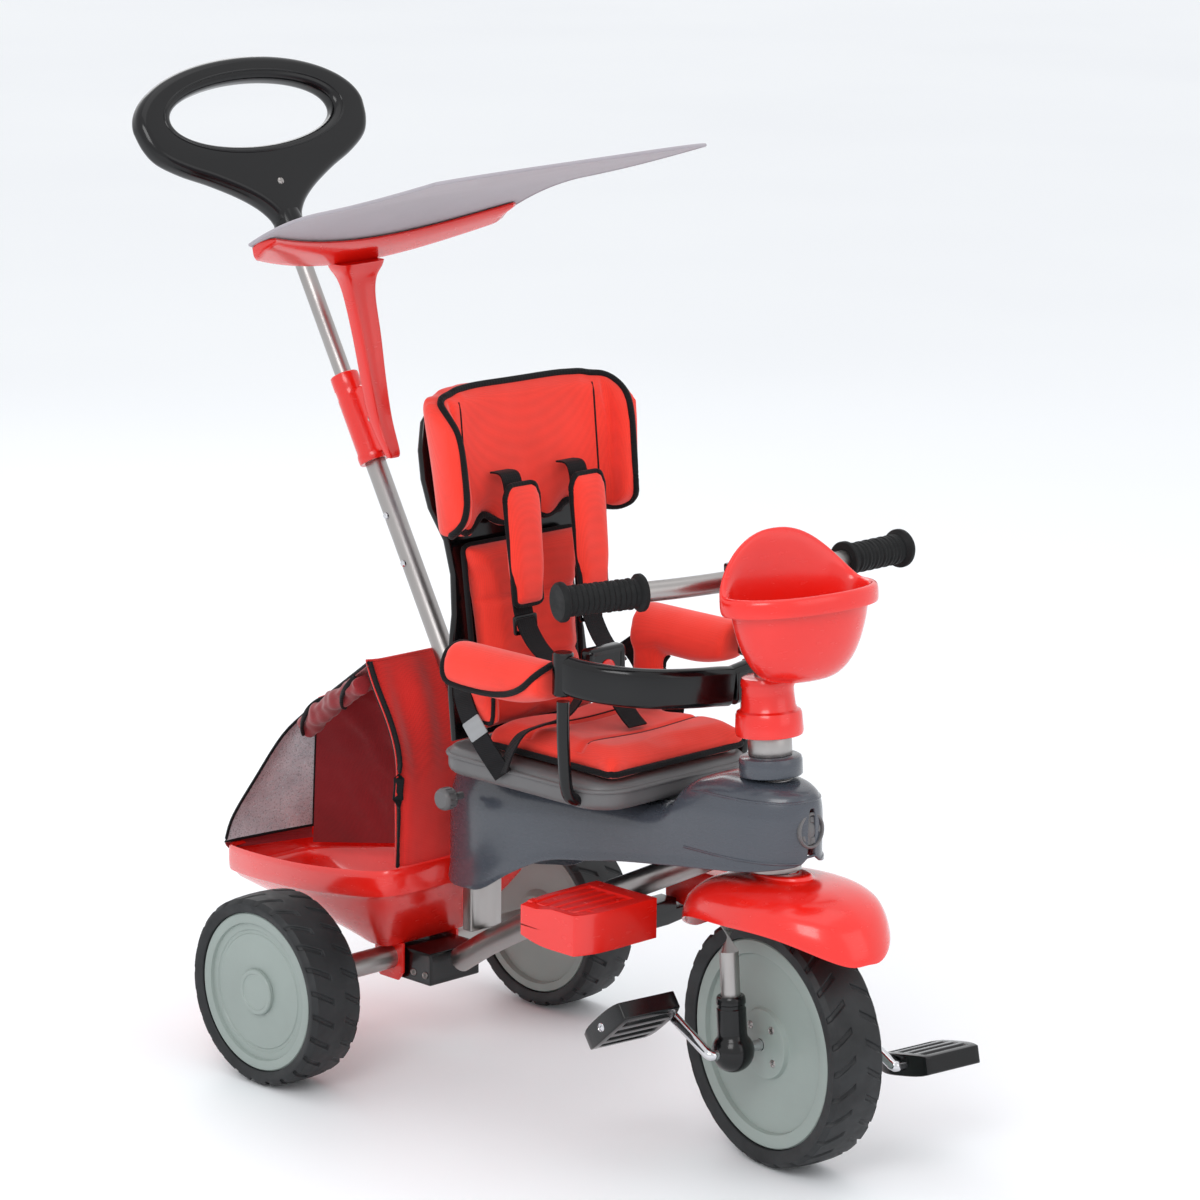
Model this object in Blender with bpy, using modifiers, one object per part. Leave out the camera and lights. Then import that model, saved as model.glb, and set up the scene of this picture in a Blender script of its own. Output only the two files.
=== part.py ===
"""Children's tricycle with a steering push bar, sun canopy, padded seat and rear bucket.

Metres, +Z up, +X towards the front wheel, +Y to the rider's left. The wheels stand on z = 0 and
the origin is under the middle of the whole object's length. The front wheel is turned a little to
the rider's right, and the push bar, which steers it, is turned half as far.
"""

import math

import bmesh
import bpy
from mathutils import Vector

# Driving dimensions
REAR_AXLE_X = -0.1738
WHEELBASE = 0.527
REAR_RADIUS = 0.100
REAR_RIM_RADIUS = 0.0836
REAR_WIDTH = 0.065
TRACK = 0.397
FRONT_RADIUS = 0.125
FRONT_RIM_RADIUS = 0.105
FRONT_WIDTH = 0.060
STEER_TILT = math.radians(4.5)
STEER_ANGLE = math.radians(-9.0)
CRANK_LENGTH = 0.072
CRANK_ANGLE = math.radians(153.4)
BAR_LEAN = math.radians(29.9)
BAR_FOOT = (0.105, 0.0, 0.318)
BAR_ANGLE = STEER_ANGLE / 2
GAP = 0.0003
WHEEL_STEPS = 30
TURNED_WHEEL_RISE = 0.0003

# Bores and tubes
AXLE_ROD_RADIUS = 0.006
AXLE_TUBE_RADIUS = 0.013
SPINE_RADIUS = 0.0135
STEERER_RADIUS = 0.0127
CRANK_RADIUS = 0.0055
HANDLEBAR_RADIUS = 0.010
LOWER_TUBE_RADIUS = 0.011
UPPER_TUBE_RADIUS = 0.009

# Seat
SEAT_TOP = 0.372
CUSHION_TOP = 0.402
SEAT_HALF = 0.112
BACK_LEAN = math.radians(-6.0)

for old in list(bpy.data.objects):
    bpy.data.objects.remove(old, do_unlink=True)

parts = bpy.data.collections.new("childrens_tricycle")
cutters = bpy.data.collections.new("cutters")
for group in (parts, cutters):
    bpy.context.scene.collection.children.link(group)
cutters.hide_render = True


def finish(name, color, roughness, metallic=0.0):
    material = bpy.data.materials.new(name)
    material.use_nodes = True
    shader = material.node_tree.nodes["Principled BSDF"]
    shader.inputs["Base Color"].default_value = (*color, 1.0)
    shader.inputs["Roughness"].default_value = roughness
    shader.inputs["Metallic"].default_value = metallic
    material.diffuse_color = (*color, 1.0)
    return material


RED_PLASTIC = finish("red_plastic", (0.85, 0.03, 0.02), 0.25)
RED_FABRIC = finish("red_fabric", (0.83, 0.06, 0.04), 0.85)
SLATE_PLASTIC = finish("slate_plastic", (0.085, 0.10, 0.115), 0.25)
GREY_PLASTIC = finish("grey_plastic", (0.20, 0.21, 0.22), 0.4)
PALE_PLASTIC = finish("pale_plastic", (0.38, 0.44, 0.42), 0.4)
BLACK_PLASTIC = finish("black_plastic", (0.012, 0.012, 0.014), 0.3)
BLACK_WEBBING = finish("black_webbing", (0.015, 0.015, 0.017), 0.8)
BLACK_RUBBER = finish("black_rubber", (0.03, 0.032, 0.034), 0.7)
GREY_CANOPY = finish("grey_canopy", (0.38, 0.36, 0.38), 0.6)
GREY_MESH = finish("grey_mesh", (0.45, 0.48, 0.50), 0.8)
STEEL = finish("silver_steel", (0.50, 0.49, 0.48), 0.35, 0.9)
CHROME = finish("chrome", (0.75, 0.75, 0.75), 0.12, 1.0)


def frame_at(name, parent=None, location=(0, 0, 0), rotation=(0, 0, 0)):
    empty = bpy.data.objects.new(name, None)
    empty.empty_display_size = 0.03
    parts.objects.link(empty)
    empty.parent = parent
    empty.location = location
    empty.rotation_euler = rotation
    return empty


def put(obj, material, parent, location=(0, 0, 0), rotation=(0, 0, 0)):
    parts.objects.link(obj)
    obj.data.materials.append(material)
    obj.parent = parent
    obj.location = location
    obj.rotation_euler = rotation
    return obj


def mesh_object(name, made):
    bmesh.ops.recalc_face_normals(made, faces=made.faces)
    mesh = bpy.data.meshes.new(name)
    made.to_mesh(mesh)
    made.free()
    return bpy.data.objects.new(name, mesh)


def smooth(obj, angle=40.0):
    obj.data.shade_smooth()
    obj.data.set_sharp_from_angle(angle=math.radians(angle))
    return obj


def box(name, low, high, bevel=0.0, segments=2):
    """A box between two corners, with rounded edges."""
    made = bmesh.new()
    bmesh.ops.create_cube(made, size=1.0)
    size = [h - l for l, h in zip(low, high)]
    middle = [(l + h) / 2 for l, h in zip(low, high)]
    bmesh.ops.scale(made, vec=size, verts=made.verts)
    bmesh.ops.translate(made, vec=middle, verts=made.verts)
    obj = mesh_object(name, made)
    if bevel:
        rounded = obj.modifiers.new("rounded", "BEVEL")
        rounded.width = bevel
        rounded.segments = segments
    return obj


def turned(name, profile, steps=32, ring=False):
    """A solid turned about local Z from (radius, height) points that run down the outer side."""
    count = len(profile)
    made = bmesh.new()
    points = [made.verts.new((radius, 0.0, height)) for radius, height in profile]
    for index in range(count if ring else count - 1):
        made.edges.new((points[index], points[(index + 1) % count]))
    mesh = bpy.data.meshes.new(name)
    made.to_mesh(mesh)
    made.free()
    obj = bpy.data.objects.new(name, mesh)
    screw = obj.modifiers.new("turned", "SCREW")
    screw.steps = screw.render_steps = steps
    screw.use_merge_vertices = True
    screw.merge_threshold = 0.00001
    return obj


def tube(name, points, radius, resolution=3, extrude=0.0, cyclic=False):
    """A round bar, or with extrude a flat bar with round edges, along a run of points."""
    curve = bpy.data.curves.new(name, "CURVE")
    curve.dimensions = "3D"
    curve.bevel_depth = radius
    curve.bevel_resolution = resolution
    curve.extrude = extrude
    curve.fill_mode = "FULL"
    curve.use_fill_caps = True
    curve.twist_mode = "Z_UP"
    spline = curve.splines.new("POLY")
    spline.points.add(len(points) - 1)
    for target, point in zip(spline.points, points):
        target.co = (*point, 1.0)
    spline.use_cyclic_u = cyclic
    return bpy.data.objects.new(name, curve)


def plate(name, outlines, thickness, edge=0.0, edge_steps=1):
    """A flat piece in local XY, from outlines of which the later ones are holes."""
    curve = bpy.data.curves.new(name, "CURVE")
    curve.dimensions = "2D"
    curve.fill_mode = "BOTH"
    curve.extrude = thickness / 2 - edge
    curve.bevel_depth = edge
    curve.offset = -edge
    curve.bevel_resolution = edge_steps
    for outline in outlines:
        spline = curve.splines.new("POLY")
        spline.points.add(len(outline) - 1)
        for target, (x, y) in zip(spline.points, outline):
            target.co = (x, y, 0.0, 1.0)
        spline.use_cyclic_u = True
    return bpy.data.objects.new(name, curve)


def loft(name, rings, cap_first=False, cap_last=False, closed=True):
    """A surface through rings of equal point counts."""
    made = bmesh.new()
    rows = [[made.verts.new(point) for point in ring] for ring in rings]
    count = len(rows[0])
    for lower, upper in zip(rows, rows[1:]):
        for index in range(count if closed else count - 1):
            after = (index + 1) % count
            made.faces.new((lower[index], lower[after], upper[after], upper[index]))
    if cap_first:
        made.faces.new(rows[0])
    if cap_last:
        made.faces.new(rows[-1])
    return mesh_object(name, made)


def thicken(obj, thickness, offset=-1.0):
    wall = obj.modifiers.new("wall", "SOLIDIFY")
    wall.thickness = thickness
    wall.offset = offset
    wall.use_even_offset = True
    return obj


def soften(obj, levels=1):
    round_off = obj.modifiers.new("soft", "SUBSURF")
    round_off.levels = round_off.render_levels = levels
    return obj


def bore(obj, radius, start, end, parent=None, steps=20):
    """Cuts a round hole between two points of the parent's frame."""
    start, end = Vector(start), Vector(end)
    made = bmesh.new()
    bmesh.ops.create_cone(
        made, cap_ends=True, segments=steps, radius1=radius, radius2=radius,
        depth=(end - start).length,
    )
    cutter = mesh_object(f"{obj.name}_bore_{len(obj.modifiers)}", made)
    cutters.objects.link(cutter)
    cutter.display_type = "WIRE"
    cutter.hide_render = True
    cutter.parent = parent
    cutter.location = (start + end) / 2
    cutter.rotation_euler = (end - start).to_track_quat("Z", "Y").to_euler()
    cut = obj.modifiers.new("bore", "BOOLEAN")
    cut.object = cutter
    cut.solver = "EXACT"
    return obj


def join(obj, other, material, parent, location=(0, 0, 0), rotation=(0, 0, 0)):
    """Makes another closed shape part of this one."""
    cutters.objects.link(other)
    other.data.materials.append(material)
    other.display_type = "WIRE"
    other.hide_render = True
    other.parent = parent
    other.location = location
    other.rotation_euler = rotation
    union = obj.modifiers.new("joined", "BOOLEAN")
    union.operation = "UNION"
    union.object = other
    union.solver = "EXACT"
    return obj


def arc(centre, radii, start, end, count):
    """Points of an ellipse's arc in a plane, ends included."""
    angles = [math.radians(start + (end - start) * step / (count - 1)) for step in range(count)]
    return [(centre[0] + radii[0] * math.cos(a), centre[1] + radii[1] * math.sin(a)) for a in angles]


ALONG_Y = (math.radians(-90), 0, 0)

trike = frame_at("tricycle", None, (REAR_AXLE_X, 0, 0))
hub = (WHEELBASE, 0, FRONT_RADIUS + TURNED_WHEEL_RISE)
steering = frame_at("steering_axis", trike, hub, (0, -STEER_TILT, 0))
steered = frame_at("steered", steering, (0, 0, 0), (0, 0, STEER_ANGLE))
bar_axis = frame_at("push_bar_axis", trike, BAR_FOOT, (0, -BAR_LEAN, 0))
bar = frame_at("push_bar_turned", bar_axis, (0, 0, 0), (0, 0, BAR_ANGLE))
SIDES = (("right", -1), ("left", 1))


def wheel(prefix, radius, rim_radius, width, hub, parent, where=(0, 0, 0), tilt=0.0):
    """A tyre on a dished plastic wheel, both turned about Y, with one flat of the tyre facing down."""
    hub_bore, hub_radius = hub
    half = width / 2
    tread = radius / math.cos(math.pi / WHEEL_STEPS)
    shoulder = 0.25 * (radius - rim_radius) + 0.004
    tyre = turned(f"{prefix}_tyre", [
        (rim_radius, half - 0.003), (tread - shoulder, half), (tread - 0.002, half - 0.009),
        (tread, half - 0.017), (tread, -half + 0.017), (tread - 0.002, -half + 0.009),
        (tread - shoulder, -half), (rim_radius, -half + 0.003),
    ], WHEEL_STEPS, ring=True)
    turn = (math.radians(-90), tilt, 0)
    put(smooth(tyre), BLACK_RUBBER, parent, where, turn)
    rim = rim_radius - GAP
    face = half - 0.004
    disc = turned(f"{prefix}_disc", [
        (hub_radius, face), (hub_radius + 0.002, face - 0.004), (rim - 0.014, face - 0.005),
        (rim - 0.011, face), (rim, face), (rim, -face), (rim - 0.011, -face),
        (rim - 0.014, -face + 0.005), (hub_radius + 0.002, -face + 0.004), (hub_radius, -face),
        (hub_bore, -face), (hub_bore, face),
    ], WHEEL_STEPS, ring=True)
    put(smooth(disc), PALE_PLASTIC, parent, where, turn)


def rear_axle():
    inner = AXLE_ROD_RADIUS + 0.0008
    reach = TRACK / 2 - REAR_WIDTH / 2 - 0.003
    housing = turned("rear_axle_tube", [
        (AXLE_TUBE_RADIUS, reach), (AXLE_TUBE_RADIUS, -reach), (inner, -reach), (inner, reach),
    ], 24, ring=True)
    put(smooth(housing), STEEL, trike, (0, 0, REAR_RADIUS), ALONG_Y)
    length = TRACK / 2 + REAR_WIDTH / 2 - 0.008
    rod = turned("rear_axle_rod", [
        (0, length), (AXLE_ROD_RADIUS, length), (AXLE_ROD_RADIUS, -length), (0, -length),
    ], 16)
    put(smooth(rod), STEEL, trike, (0, 0, REAR_RADIUS), ALONG_Y)
    for side, sign in SIDES:
        middle = (0, sign * TRACK / 2, REAR_RADIUS)
        wheel(f"rear_{side}", REAR_RADIUS, REAR_RIM_RADIUS, REAR_WIDTH,
              (AXLE_ROD_RADIUS + GAP, 0.022), trike, middle)


def spine():
    block = box("axle_block", (-0.022, -0.036, 0.078), (0.058, 0.036, 0.1135), 0.003)
    bore(block, AXLE_TUBE_RADIUS + GAP, (0, -0.05, REAR_RADIUS), (0, 0.05, REAR_RADIUS), trike)
    put(block, BLACK_PLASTIC, trike)
    route = [(0.0668, 0, 0.1030), (0.085, 0, 0.115), (0.12, 0, 0.137), (0.20, 0, 0.180),
             (0.33, 0, 0.243), (0.42, 0, 0.287), (0.478, 0, 0.315)]
    put(tube("main_tube", route, SPINE_RADIUS, 4), STEEL, trike)
    put(box("seat_post", (0.092, -0.022, 0.1455), (0.106, 0.022, 0.2315), 0.002), STEEL, trike)
    half = [(0.0415, 0.2212), (0.0415, 0.2110), (0.0660, 0.2110), (0.0660, 0.1990),
            (0.0300, 0.1950)]
    outline = half + [(-y, z) for y, z in reversed(half)]
    put(plate("footrest_bracket", [outline], 0.024), BLACK_PLASTIC, trike, (0.330, 0, 0),
        (math.radians(90), 0, math.radians(90)))


def body_shell():
    """The moulded body: an open-bottomed shell from behind the seat to round the head tube."""
    stations = [
        (0.084, 0.030, 0.225, 0.318), (0.102, 0.050, 0.208, 0.336), (0.160, 0.069, 0.212, 0.342),
        (0.235, 0.066, 0.262, 0.342), (0.330, 0.054, 0.276, 0.340), (0.400, 0.050, 0.287, 0.340),
        (0.432, 0.050, 0.292, 0.384), (0.505, 0.047, 0.300, 0.388), (0.538, 0.037, 0.305, 0.384),
        (0.560, 0.015, 0.311, 0.374),
    ]
    rings = []
    for x, half, low, high in stations:
        side = [(x, 0.92 * half, low), (x, half, low + 0.3 * (high - low)),
                (x, half, high - 0.25 * (high - low)), (x, 0.72 * half, high)]
        rings.append(side + [(px, -py, pz) for px, py, pz in reversed(side)])
    shell = loft("body_shell", rings, cap_first=True, cap_last=True, closed=False)
    soften(shell, 1)
    thicken(shell, 0.0028)
    bore(shell, 0.0235, (-0.001, 0, 0.215), (-0.001, 0, 0.31), steering)
    bore(shell, 0.0165, (0, 0, -0.045), (0, 0, 0.05), bar_axis)
    put(smooth(shell), SLATE_PLASTIC, trike)


def head():
    """The head tube with its collars, on the steering axis but fixed to the frame."""
    inner = STEERER_RADIUS + 0.0008
    rings = (
        ("head_tube", STEEL, [(0.021, 0.262), (0.021, 0.182), (0.026, 0.179), (0.026, 0.1705),
                              (inner, 0.1705), (inner, 0.262)]),
        ("neck_ring", SLATE_PLASTIC, [(0.028, 0.285), (0.031, 0.281), (0.031, 0.2655),
                                      (inner, 0.2655), (inner, 0.285)]),
    )
    for name, material, profile in rings:
        put(smooth(turned(name, profile, 24, ring=True)), material, steering)
    clear = LOWER_TUBE_RADIUS + 0.0004
    socket = turned("push_bar_socket", [
        (0, -0.072), (clear, -0.072), (clear, 0.030), (0.016, 0.030), (0.016, -0.080), (0, -0.080),
    ], 24)
    put(smooth(socket), BLACK_PLASTIC, bar_axis)


def bucket_ring(scale_y, scale_x, lift, middle=-0.05):
    """The bucket's boat-shaped outline in plan, on its slanting rim plane."""
    half = [(-0.246, 0.0), (-0.245, 0.040), (-0.232, 0.066), (-0.150, 0.094), (-0.060, 0.114),
            (0.020, 0.118), (0.062, 0.112), (0.076, 0.090), (0.078, 0.0)]
    outline = half + [(x, -y) for x, y in reversed(half[1:-1])]
    return [
        (middle + scale_x * (x - middle), scale_y * y, 0.178 + 0.136 * (x + 0.245) + lift)
        for x, y in outline
    ]


def bucket():
    floor_z = 0.1165
    floor = [(x * 0.24 - 0.004, y * 0.50, floor_z) for x, y, _ in bucket_ring(1, 1, 0)]
    knee = [tuple(0.4 * a + 0.6 * b for a, b in zip(low, high))
            for low, high in zip(floor, bucket_ring(0.94, 0.95, -0.034))]
    rings = [floor, knee, bucket_ring(0.97, 0.975, -0.028), bucket_ring(1, 1, -0.026),
             bucket_ring(1, 1, 0)]
    shell = thicken(loft("rear_bucket", rings, cap_first=True), 0.0028)
    for side, sign in SIDES:
        low, high = sorted((sign * 0.0366, sign * 0.0406))
        tab = box(f"bucket_tab_{side}", (-0.024, low, 0.076), (0.020, high, 0.1180))
        join(shell, tab, RED_PLASTIC, trike)
    bore(shell, AXLE_TUBE_RADIUS + GAP, (0, -0.06, REAR_RADIUS), (0, 0.06, REAR_RADIUS), trike)
    put(smooth(shell), RED_PLASTIC, trike)


def rear_bag():
    """A tent of fabric over the bucket: front wall, roof and left side, open on the right."""
    wall = [(0.020, 0.430), (0.030, 0.414), (0.052, 0.374), (0.068, 0.330), (0.070, 0.2265)]
    across = [-0.092, -0.046, 0.0, 0.050, 0.098]
    apex = (-0.160, 0.0, 0.340)
    rear_corner = (-0.220, 0.046, 0.1870)
    made = bmesh.new()
    grid = [[made.verts.new((x, y * (0.90 + 0.1 * row / 4), z)) for y in across]
            for row, (x, z) in enumerate(wall)]
    for upper, lower in zip(grid, grid[1:]):
        for index in range(len(across) - 1):
            made.faces.new((upper[index], upper[index + 1], lower[index + 1], lower[index]))
    top = made.verts.new(apex)
    for left, right in zip(grid[0], grid[0][1:]):
        made.faces.new((left, right, top))
    foot = made.verts.new(rear_corner)
    edge = [row[-1] for row in grid]
    for upper, lower in zip(edge, edge[1:3]):
        made.faces.new((top, upper, lower))
    for upper, lower in zip(edge[2:], edge[3:]):
        made.faces.new((foot, upper, lower))
    made.faces.new((top, edge[2], foot))
    hood = thicken(mesh_object("bag_hood", made), 0.003, 0.0)
    put(hood, RED_FABRIC, trike)
    made = bmesh.new()
    peak = made.verts.new((-0.170, 0.0, 0.334))
    bulge = [made.verts.new((-0.214, y, 0.262)) for y in (-0.036, 0.0, 0.034)]
    base = [made.verts.new((-0.235, y, 0.1845)) for y in (-0.056, 0.0, 0.038)]
    for index in range(2):
        made.faces.new((peak, bulge[index], bulge[index + 1]))
        made.faces.new((bulge[index], base[index], base[index + 1], bulge[index + 1]))
    put(thicken(mesh_object("bag_mesh", made), 0.002, 0.0), GREY_MESH, trike)
    flap = tube("bag_side_flap", [(0.004, -0.080, 0.405), (-0.050, -0.064, 0.378),
                                  (-0.105, -0.040, 0.348), (-0.148, -0.022, 0.318)], 0.012, 2)
    put(flap, RED_FABRIC, trike)


def seat():
    base = box("seat_base", (0.146, -SEAT_HALF, 0.3435), (0.388, SEAT_HALF, SEAT_TOP), 0.010, 3)
    put(base, GREY_PLASTIC, trike)
    cushion = box("seat_cushion", (0.196, -0.104, SEAT_TOP + GAP), (0.392, 0.104, CUSHION_TOP),
                  0.010, 3)
    put(cushion, RED_FABRIC, trike)
    back = frame_at("seat_back_frame", trike, (0.158, 0, SEAT_TOP + GAP), (0, BACK_LEAN, 0))
    edge = [(-0.098, 0.002), (-0.098, 0.090), (-0.084, 0.140), (-0.084, 0.190), (-0.110, 0.235),
            (-0.116, 0.300), (-0.095, 0.345), (-0.050, 0.360)]
    outline = edge + [(-y, z) for y, z in reversed(edge)]
    shell = plate("seat_back_shell", [outline], 0.008)
    put(shell, BLACK_PLASTIC, back, (0, 0, 0), (math.radians(90), 0, math.radians(90)))
    pad = box("back_pad", (0.0045, -0.084, 0.003), (0.032, 0.084, 0.205), 0.010, 3)
    put(pad, RED_FABRIC, back)
    hood = [(0.0045, -0.122), (0.030, -0.135), (0.085, -0.130), (0.088, -0.114), (0.045, -0.104),
            (0.034, -0.068)]
    ring = hood + [(x, -y) for x, y in reversed(hood)]
    head_pad = plate("headrest", [ring], 0.160, 0.008, 1)
    put(head_pad, RED_FABRIC, back, (0, 0, 0.290))
    for side, sign in SIDES:
        arm(side, sign)
        straps(side, sign, back)
        low, high = sorted((sign * 0.105, sign * 0.136))
        bracket = box(f"ring_bracket_{side}", (0.3405, low, 0.350), (0.3605, high, 0.4600))
        gap = box(f"ring_bracket_gap_{side}", (0.33, sign * 0.1125 if sign < 0 else 0.09, 0.3725),
                  (0.37, -0.09 if sign < 0 else 0.1125, 0.48))
        join(base, bracket, GREY_PLASTIC, trike)
        cutters.objects.link(gap)
        gap.display_type = "WIRE"
        gap.hide_render = True
        gap.parent = trike
        clear = base.modifiers.new("clear", "BOOLEAN")
        clear.object = gap
    put(box("harness_buckle", (0.266, -0.026, 0.432), (0.282, 0.026, 0.478), 0.004, 2),
        BLACK_PLASTIC, trike)
    put(ribbon("crotch_strap", [(0.322, 0.4030), (0.306, 0.4150), (0.2835, 0.4400)], 0, 0.025),
        BLACK_WEBBING, trike)


def ribbon(name, path, y, width, thickness=0.002):
    """Flat webbing that runs in a plane of constant y, through (x, z) points."""
    rings = [[(x, y - width / 2, z), (x, y + width / 2, z)] for x, z in path]
    return thicken(loft(name, rings, closed=False), thickness, 0.0)


def arm(side, sign):
    """Padded arm beside the hips, on a short leg at its rear end."""
    top = [(0.108, 0.446), (0.104, 0.470), (0.114, 0.490), (0.136, 0.496), (0.154, 0.486),
           (0.158, 0.464), (0.146, 0.448), (0.126, 0.442)]
    rings = []
    for x, foot in ((0.199, 0.404), (0.240, 0.404), (0.252, 0.4405), (0.339, 0.4405)):
        outline = [(0.108, foot), *top, (0.124, foot)]
        rings.append([(x, sign * y, z) for y, z in outline])
    pad = loft(f"arm_pad_{side}", rings, cap_first=True, cap_last=True)
    soften(pad, 1)
    put(smooth(pad), RED_FABRIC, trike)


def straps(side, sign, back):
    """Shoulder webbing from its slot in the back to the buckle, with its pad in front of it."""
    y = sign * 0.046
    path = [(0.046, 0.272), (0.060, 0.262), (0.060, 0.200), (0.062, 0.130), (0.080, 0.092),
            (0.1085, 0.070)]
    strap = ribbon(f"shoulder_strap_{side}", path, y, 0.025)
    put(strap, BLACK_WEBBING, back)
    pad = box(f"shoulder_pad_{side}", (0.0645, y - 0.027, 0.135), (0.0785, y + 0.027, 0.262), 0.005)
    put(pad, RED_FABRIC, back)


def safety_ring():
    """Two curved bars that meet in front of the rider and swing out on the seat's brackets."""
    for side, sign in SIDES:
        route = [(0.350, 0.131), (0.368, 0.130), (0.394, 0.121), (0.418, 0.104), (0.436, 0.078),
                 (0.447, 0.046), (0.4495, 0.0025)]
        pivot = frame_at(f"ring_pivot_{side}", trike, (route[0][0], sign * route[0][1], 0.484))
        points = [(x - route[0][0], sign * (y - route[0][1]), -0.016 * step / 6)
                  for step, (x, y) in enumerate(route)]
        put(tube(f"safety_ring_{side}", points, 0.008, 2, 0.012), BLACK_PLASTIC, pivot)


def footrests():
    for side, sign in SIDES:
        pivot = frame_at(f"footrest_pivot_{side}", trike, (0.330, sign * 0.0565, 0.231))
        low, high = sorted((sign * -0.0070, sign * 0.0985))
        rest = box(f"footrest_{side}", (-0.012, low, -0.0195), (0.072, high, 0.0215), 0.012, 3)
        put(smooth(rest), RED_PLASTIC, pivot)


def knob():
    axis = frame_at("knob_axis", trike, (0.148, -0.0755, 0.312))
    stem = turned("seat_knob", [
        (0, 0.030), (0.010, 0.030), (0.012, 0.027), (0.012, 0.017), (0.010, 0.014),
        (0.004, 0.013), (0.004, 0), (0, 0),
    ], 20)
    put(smooth(stem), GREY_PLASTIC, axis, (0, 0, 0), (math.radians(90), 0, 0))


def fork():
    """The forked tube over the front wheel, with its end housings, crown shaft and mudguard."""
    leg = 0.060
    bend = [(y, z) for y, z in arc((0, 0.128), (leg, 0.024), 0, 180, 9)]
    route = [(0, leg, 0.0560), *[(0, y, z) for y, z in bend], (0, -leg, 0.0560)]
    put(tube("fork", route, 0.0095, 4), STEEL, steered)
    for side, sign in SIDES:
        ball = 0.021
        neck = [(0, 0.0557), (0.0135, 0.0557), (0.0145, 0.052), (0.0145, 0.0185)]
        dome = [(ball * math.cos(a), ball * math.sin(a))
                for a in (math.radians(40 - 26 * step) for step in range(5))]
        end = turned(f"fork_end_{side}", neck + dome + [(0, -ball)], 18)
        bore(end, CRANK_RADIUS + GAP, (0, sign * 0.03, 0), (0, sign * 0.10, 0), steered, 16)
        put(smooth(end), BLACK_PLASTIC, steered, (0, sign * leg, 0))
    shaft = turned("steering_shaft", [
        (0, 0.4322), (STEERER_RADIUS, 0.4322), (STEERER_RADIUS, 0.1625), (0, 0.1625),
    ], 24)
    put(smooth(shaft), STEEL, steered)


def mudguard():
    """A domed guard over the tyre, with the crown of the fork inside it."""
    rings = []
    for scale, drop in ((1.0, 0.0), (0.97, 0.018), (0.86, 0.036), (0.62, 0.050), (0.33, 0.056)):
        ring = []
        for step in range(14):
            a = 2 * math.pi * step / 14
            x = 0.012 + scale * 0.128 * math.cos(a)
            y = scale * 0.078 * math.sin(a)
            sag = 0.034 * abs(math.cos(a)) ** 3 * (1 - drop / 0.056)
            ring.append((x, y, 0.1105 + drop + 0.020 * (1 - drop / 0.056) - sag))
        rings.append(ring)
    guard = loft("front_mudguard", rings, cap_last=True)
    soften(guard, 1)
    thicken(guard, 0.0028)
    bore(guard, STEERER_RADIUS + 0.001, (0, 0, 0.14), (0, 0, 0.19), steered, 24)
    put(smooth(guard), RED_PLASTIC, steered)


def column():
    inner = STEERER_RADIUS + GAP
    ring = turned("column_ring", [(0.0215, 0.3045), (0.0215, 0.2853), (inner, 0.2853),
                                  (inner, 0.3045)], 24, ring=True)
    put(smooth(ring), STEEL, steered)
    bell = turned("column_bell", [
        (0.0235, 0.3630), (0.0262, 0.3600), (0.0268, 0.3330), (0.0320, 0.3280), (0.0335, 0.3048),
        (inner, 0.3048), (inner, 0.3630),
    ], 24, ring=True)
    put(smooth(bell), RED_PLASTIC, steered)


def basket_ring(scale, z, raise_back, middle=(0.053, 0.0)):
    """A D-shaped ring: flat behind, round in front, its back lifted to a point."""
    ring = []
    for step in range(24):
        a = 2 * math.pi * step / 24
        c, s = math.cos(a), math.sin(a)
        x = scale * (0.054 * c if c > 0 else 0.035 * math.copysign(abs(c) ** 0.6, c))
        y = scale * 0.084 * math.copysign(abs(s) ** 0.85, s)
        ring.append((middle[0] + x, y, z + raise_back * max(0.0, -c) ** 1.9))
    return ring


def basket():
    rings = [basket_ring(0.30, 0.3665, 0), basket_ring(0.62, 0.375, 0), basket_ring(0.82, 0.400, 0),
             basket_ring(0.92, 0.4500, 0.055), basket_ring(1.0, 0.4520, 0.055),
             basket_ring(1.01, 0.4280, 0.040)]
    shell = thicken(loft("front_basket", rings, cap_first=True), 0.0024, 0.0)
    put(smooth(shell), RED_PLASTIC, steered)


def handlebar():
    height = 0.457
    half = [(-0.018, 0.0), (-0.018, 0.045), (-0.022, 0.085), (-0.030, 0.122), (-0.045, 0.204)]
    route = [(x, -y, height) for x, y in reversed(half[1:])] + [(x, y, height) for x, y in half]
    put(tube("handlebar", route, HANDLEBAR_RADIUS, 4), STEEL, steered)
    clamp = box("handlebar_clamp", (-0.034, -0.024, 0.4326), (0.0135, 0.024, 0.4740), 0.005)
    bore(clamp, HANDLEBAR_RADIUS + GAP, (-0.018, -0.04, height), (-0.018, 0.04, height), steered)
    put(clamp, BLACK_PLASTIC, steered)
    sweep = math.atan2(0.015, 0.082)
    for side, sign in SIDES:
        inner = HANDLEBAR_RADIUS + 0.0004
        grip = turned(f"grip_{side}", [
            (0, 0.090), (0.018, 0.090), (0.0195, 0.084), (0.0145, 0.080), (0.0155, 0.045),
            (0.0145, 0.008), (0.0185, 0.006), (0.0185, 0), (inner, 0), (inner, 0.0845),
            (0, 0.0845),
        ], 18)
        put(smooth(grip), BLACK_RUBBER, steered, (-0.030, sign * 0.1225, height),
            (-sign * math.radians(90), 0, sign * sweep))


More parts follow.
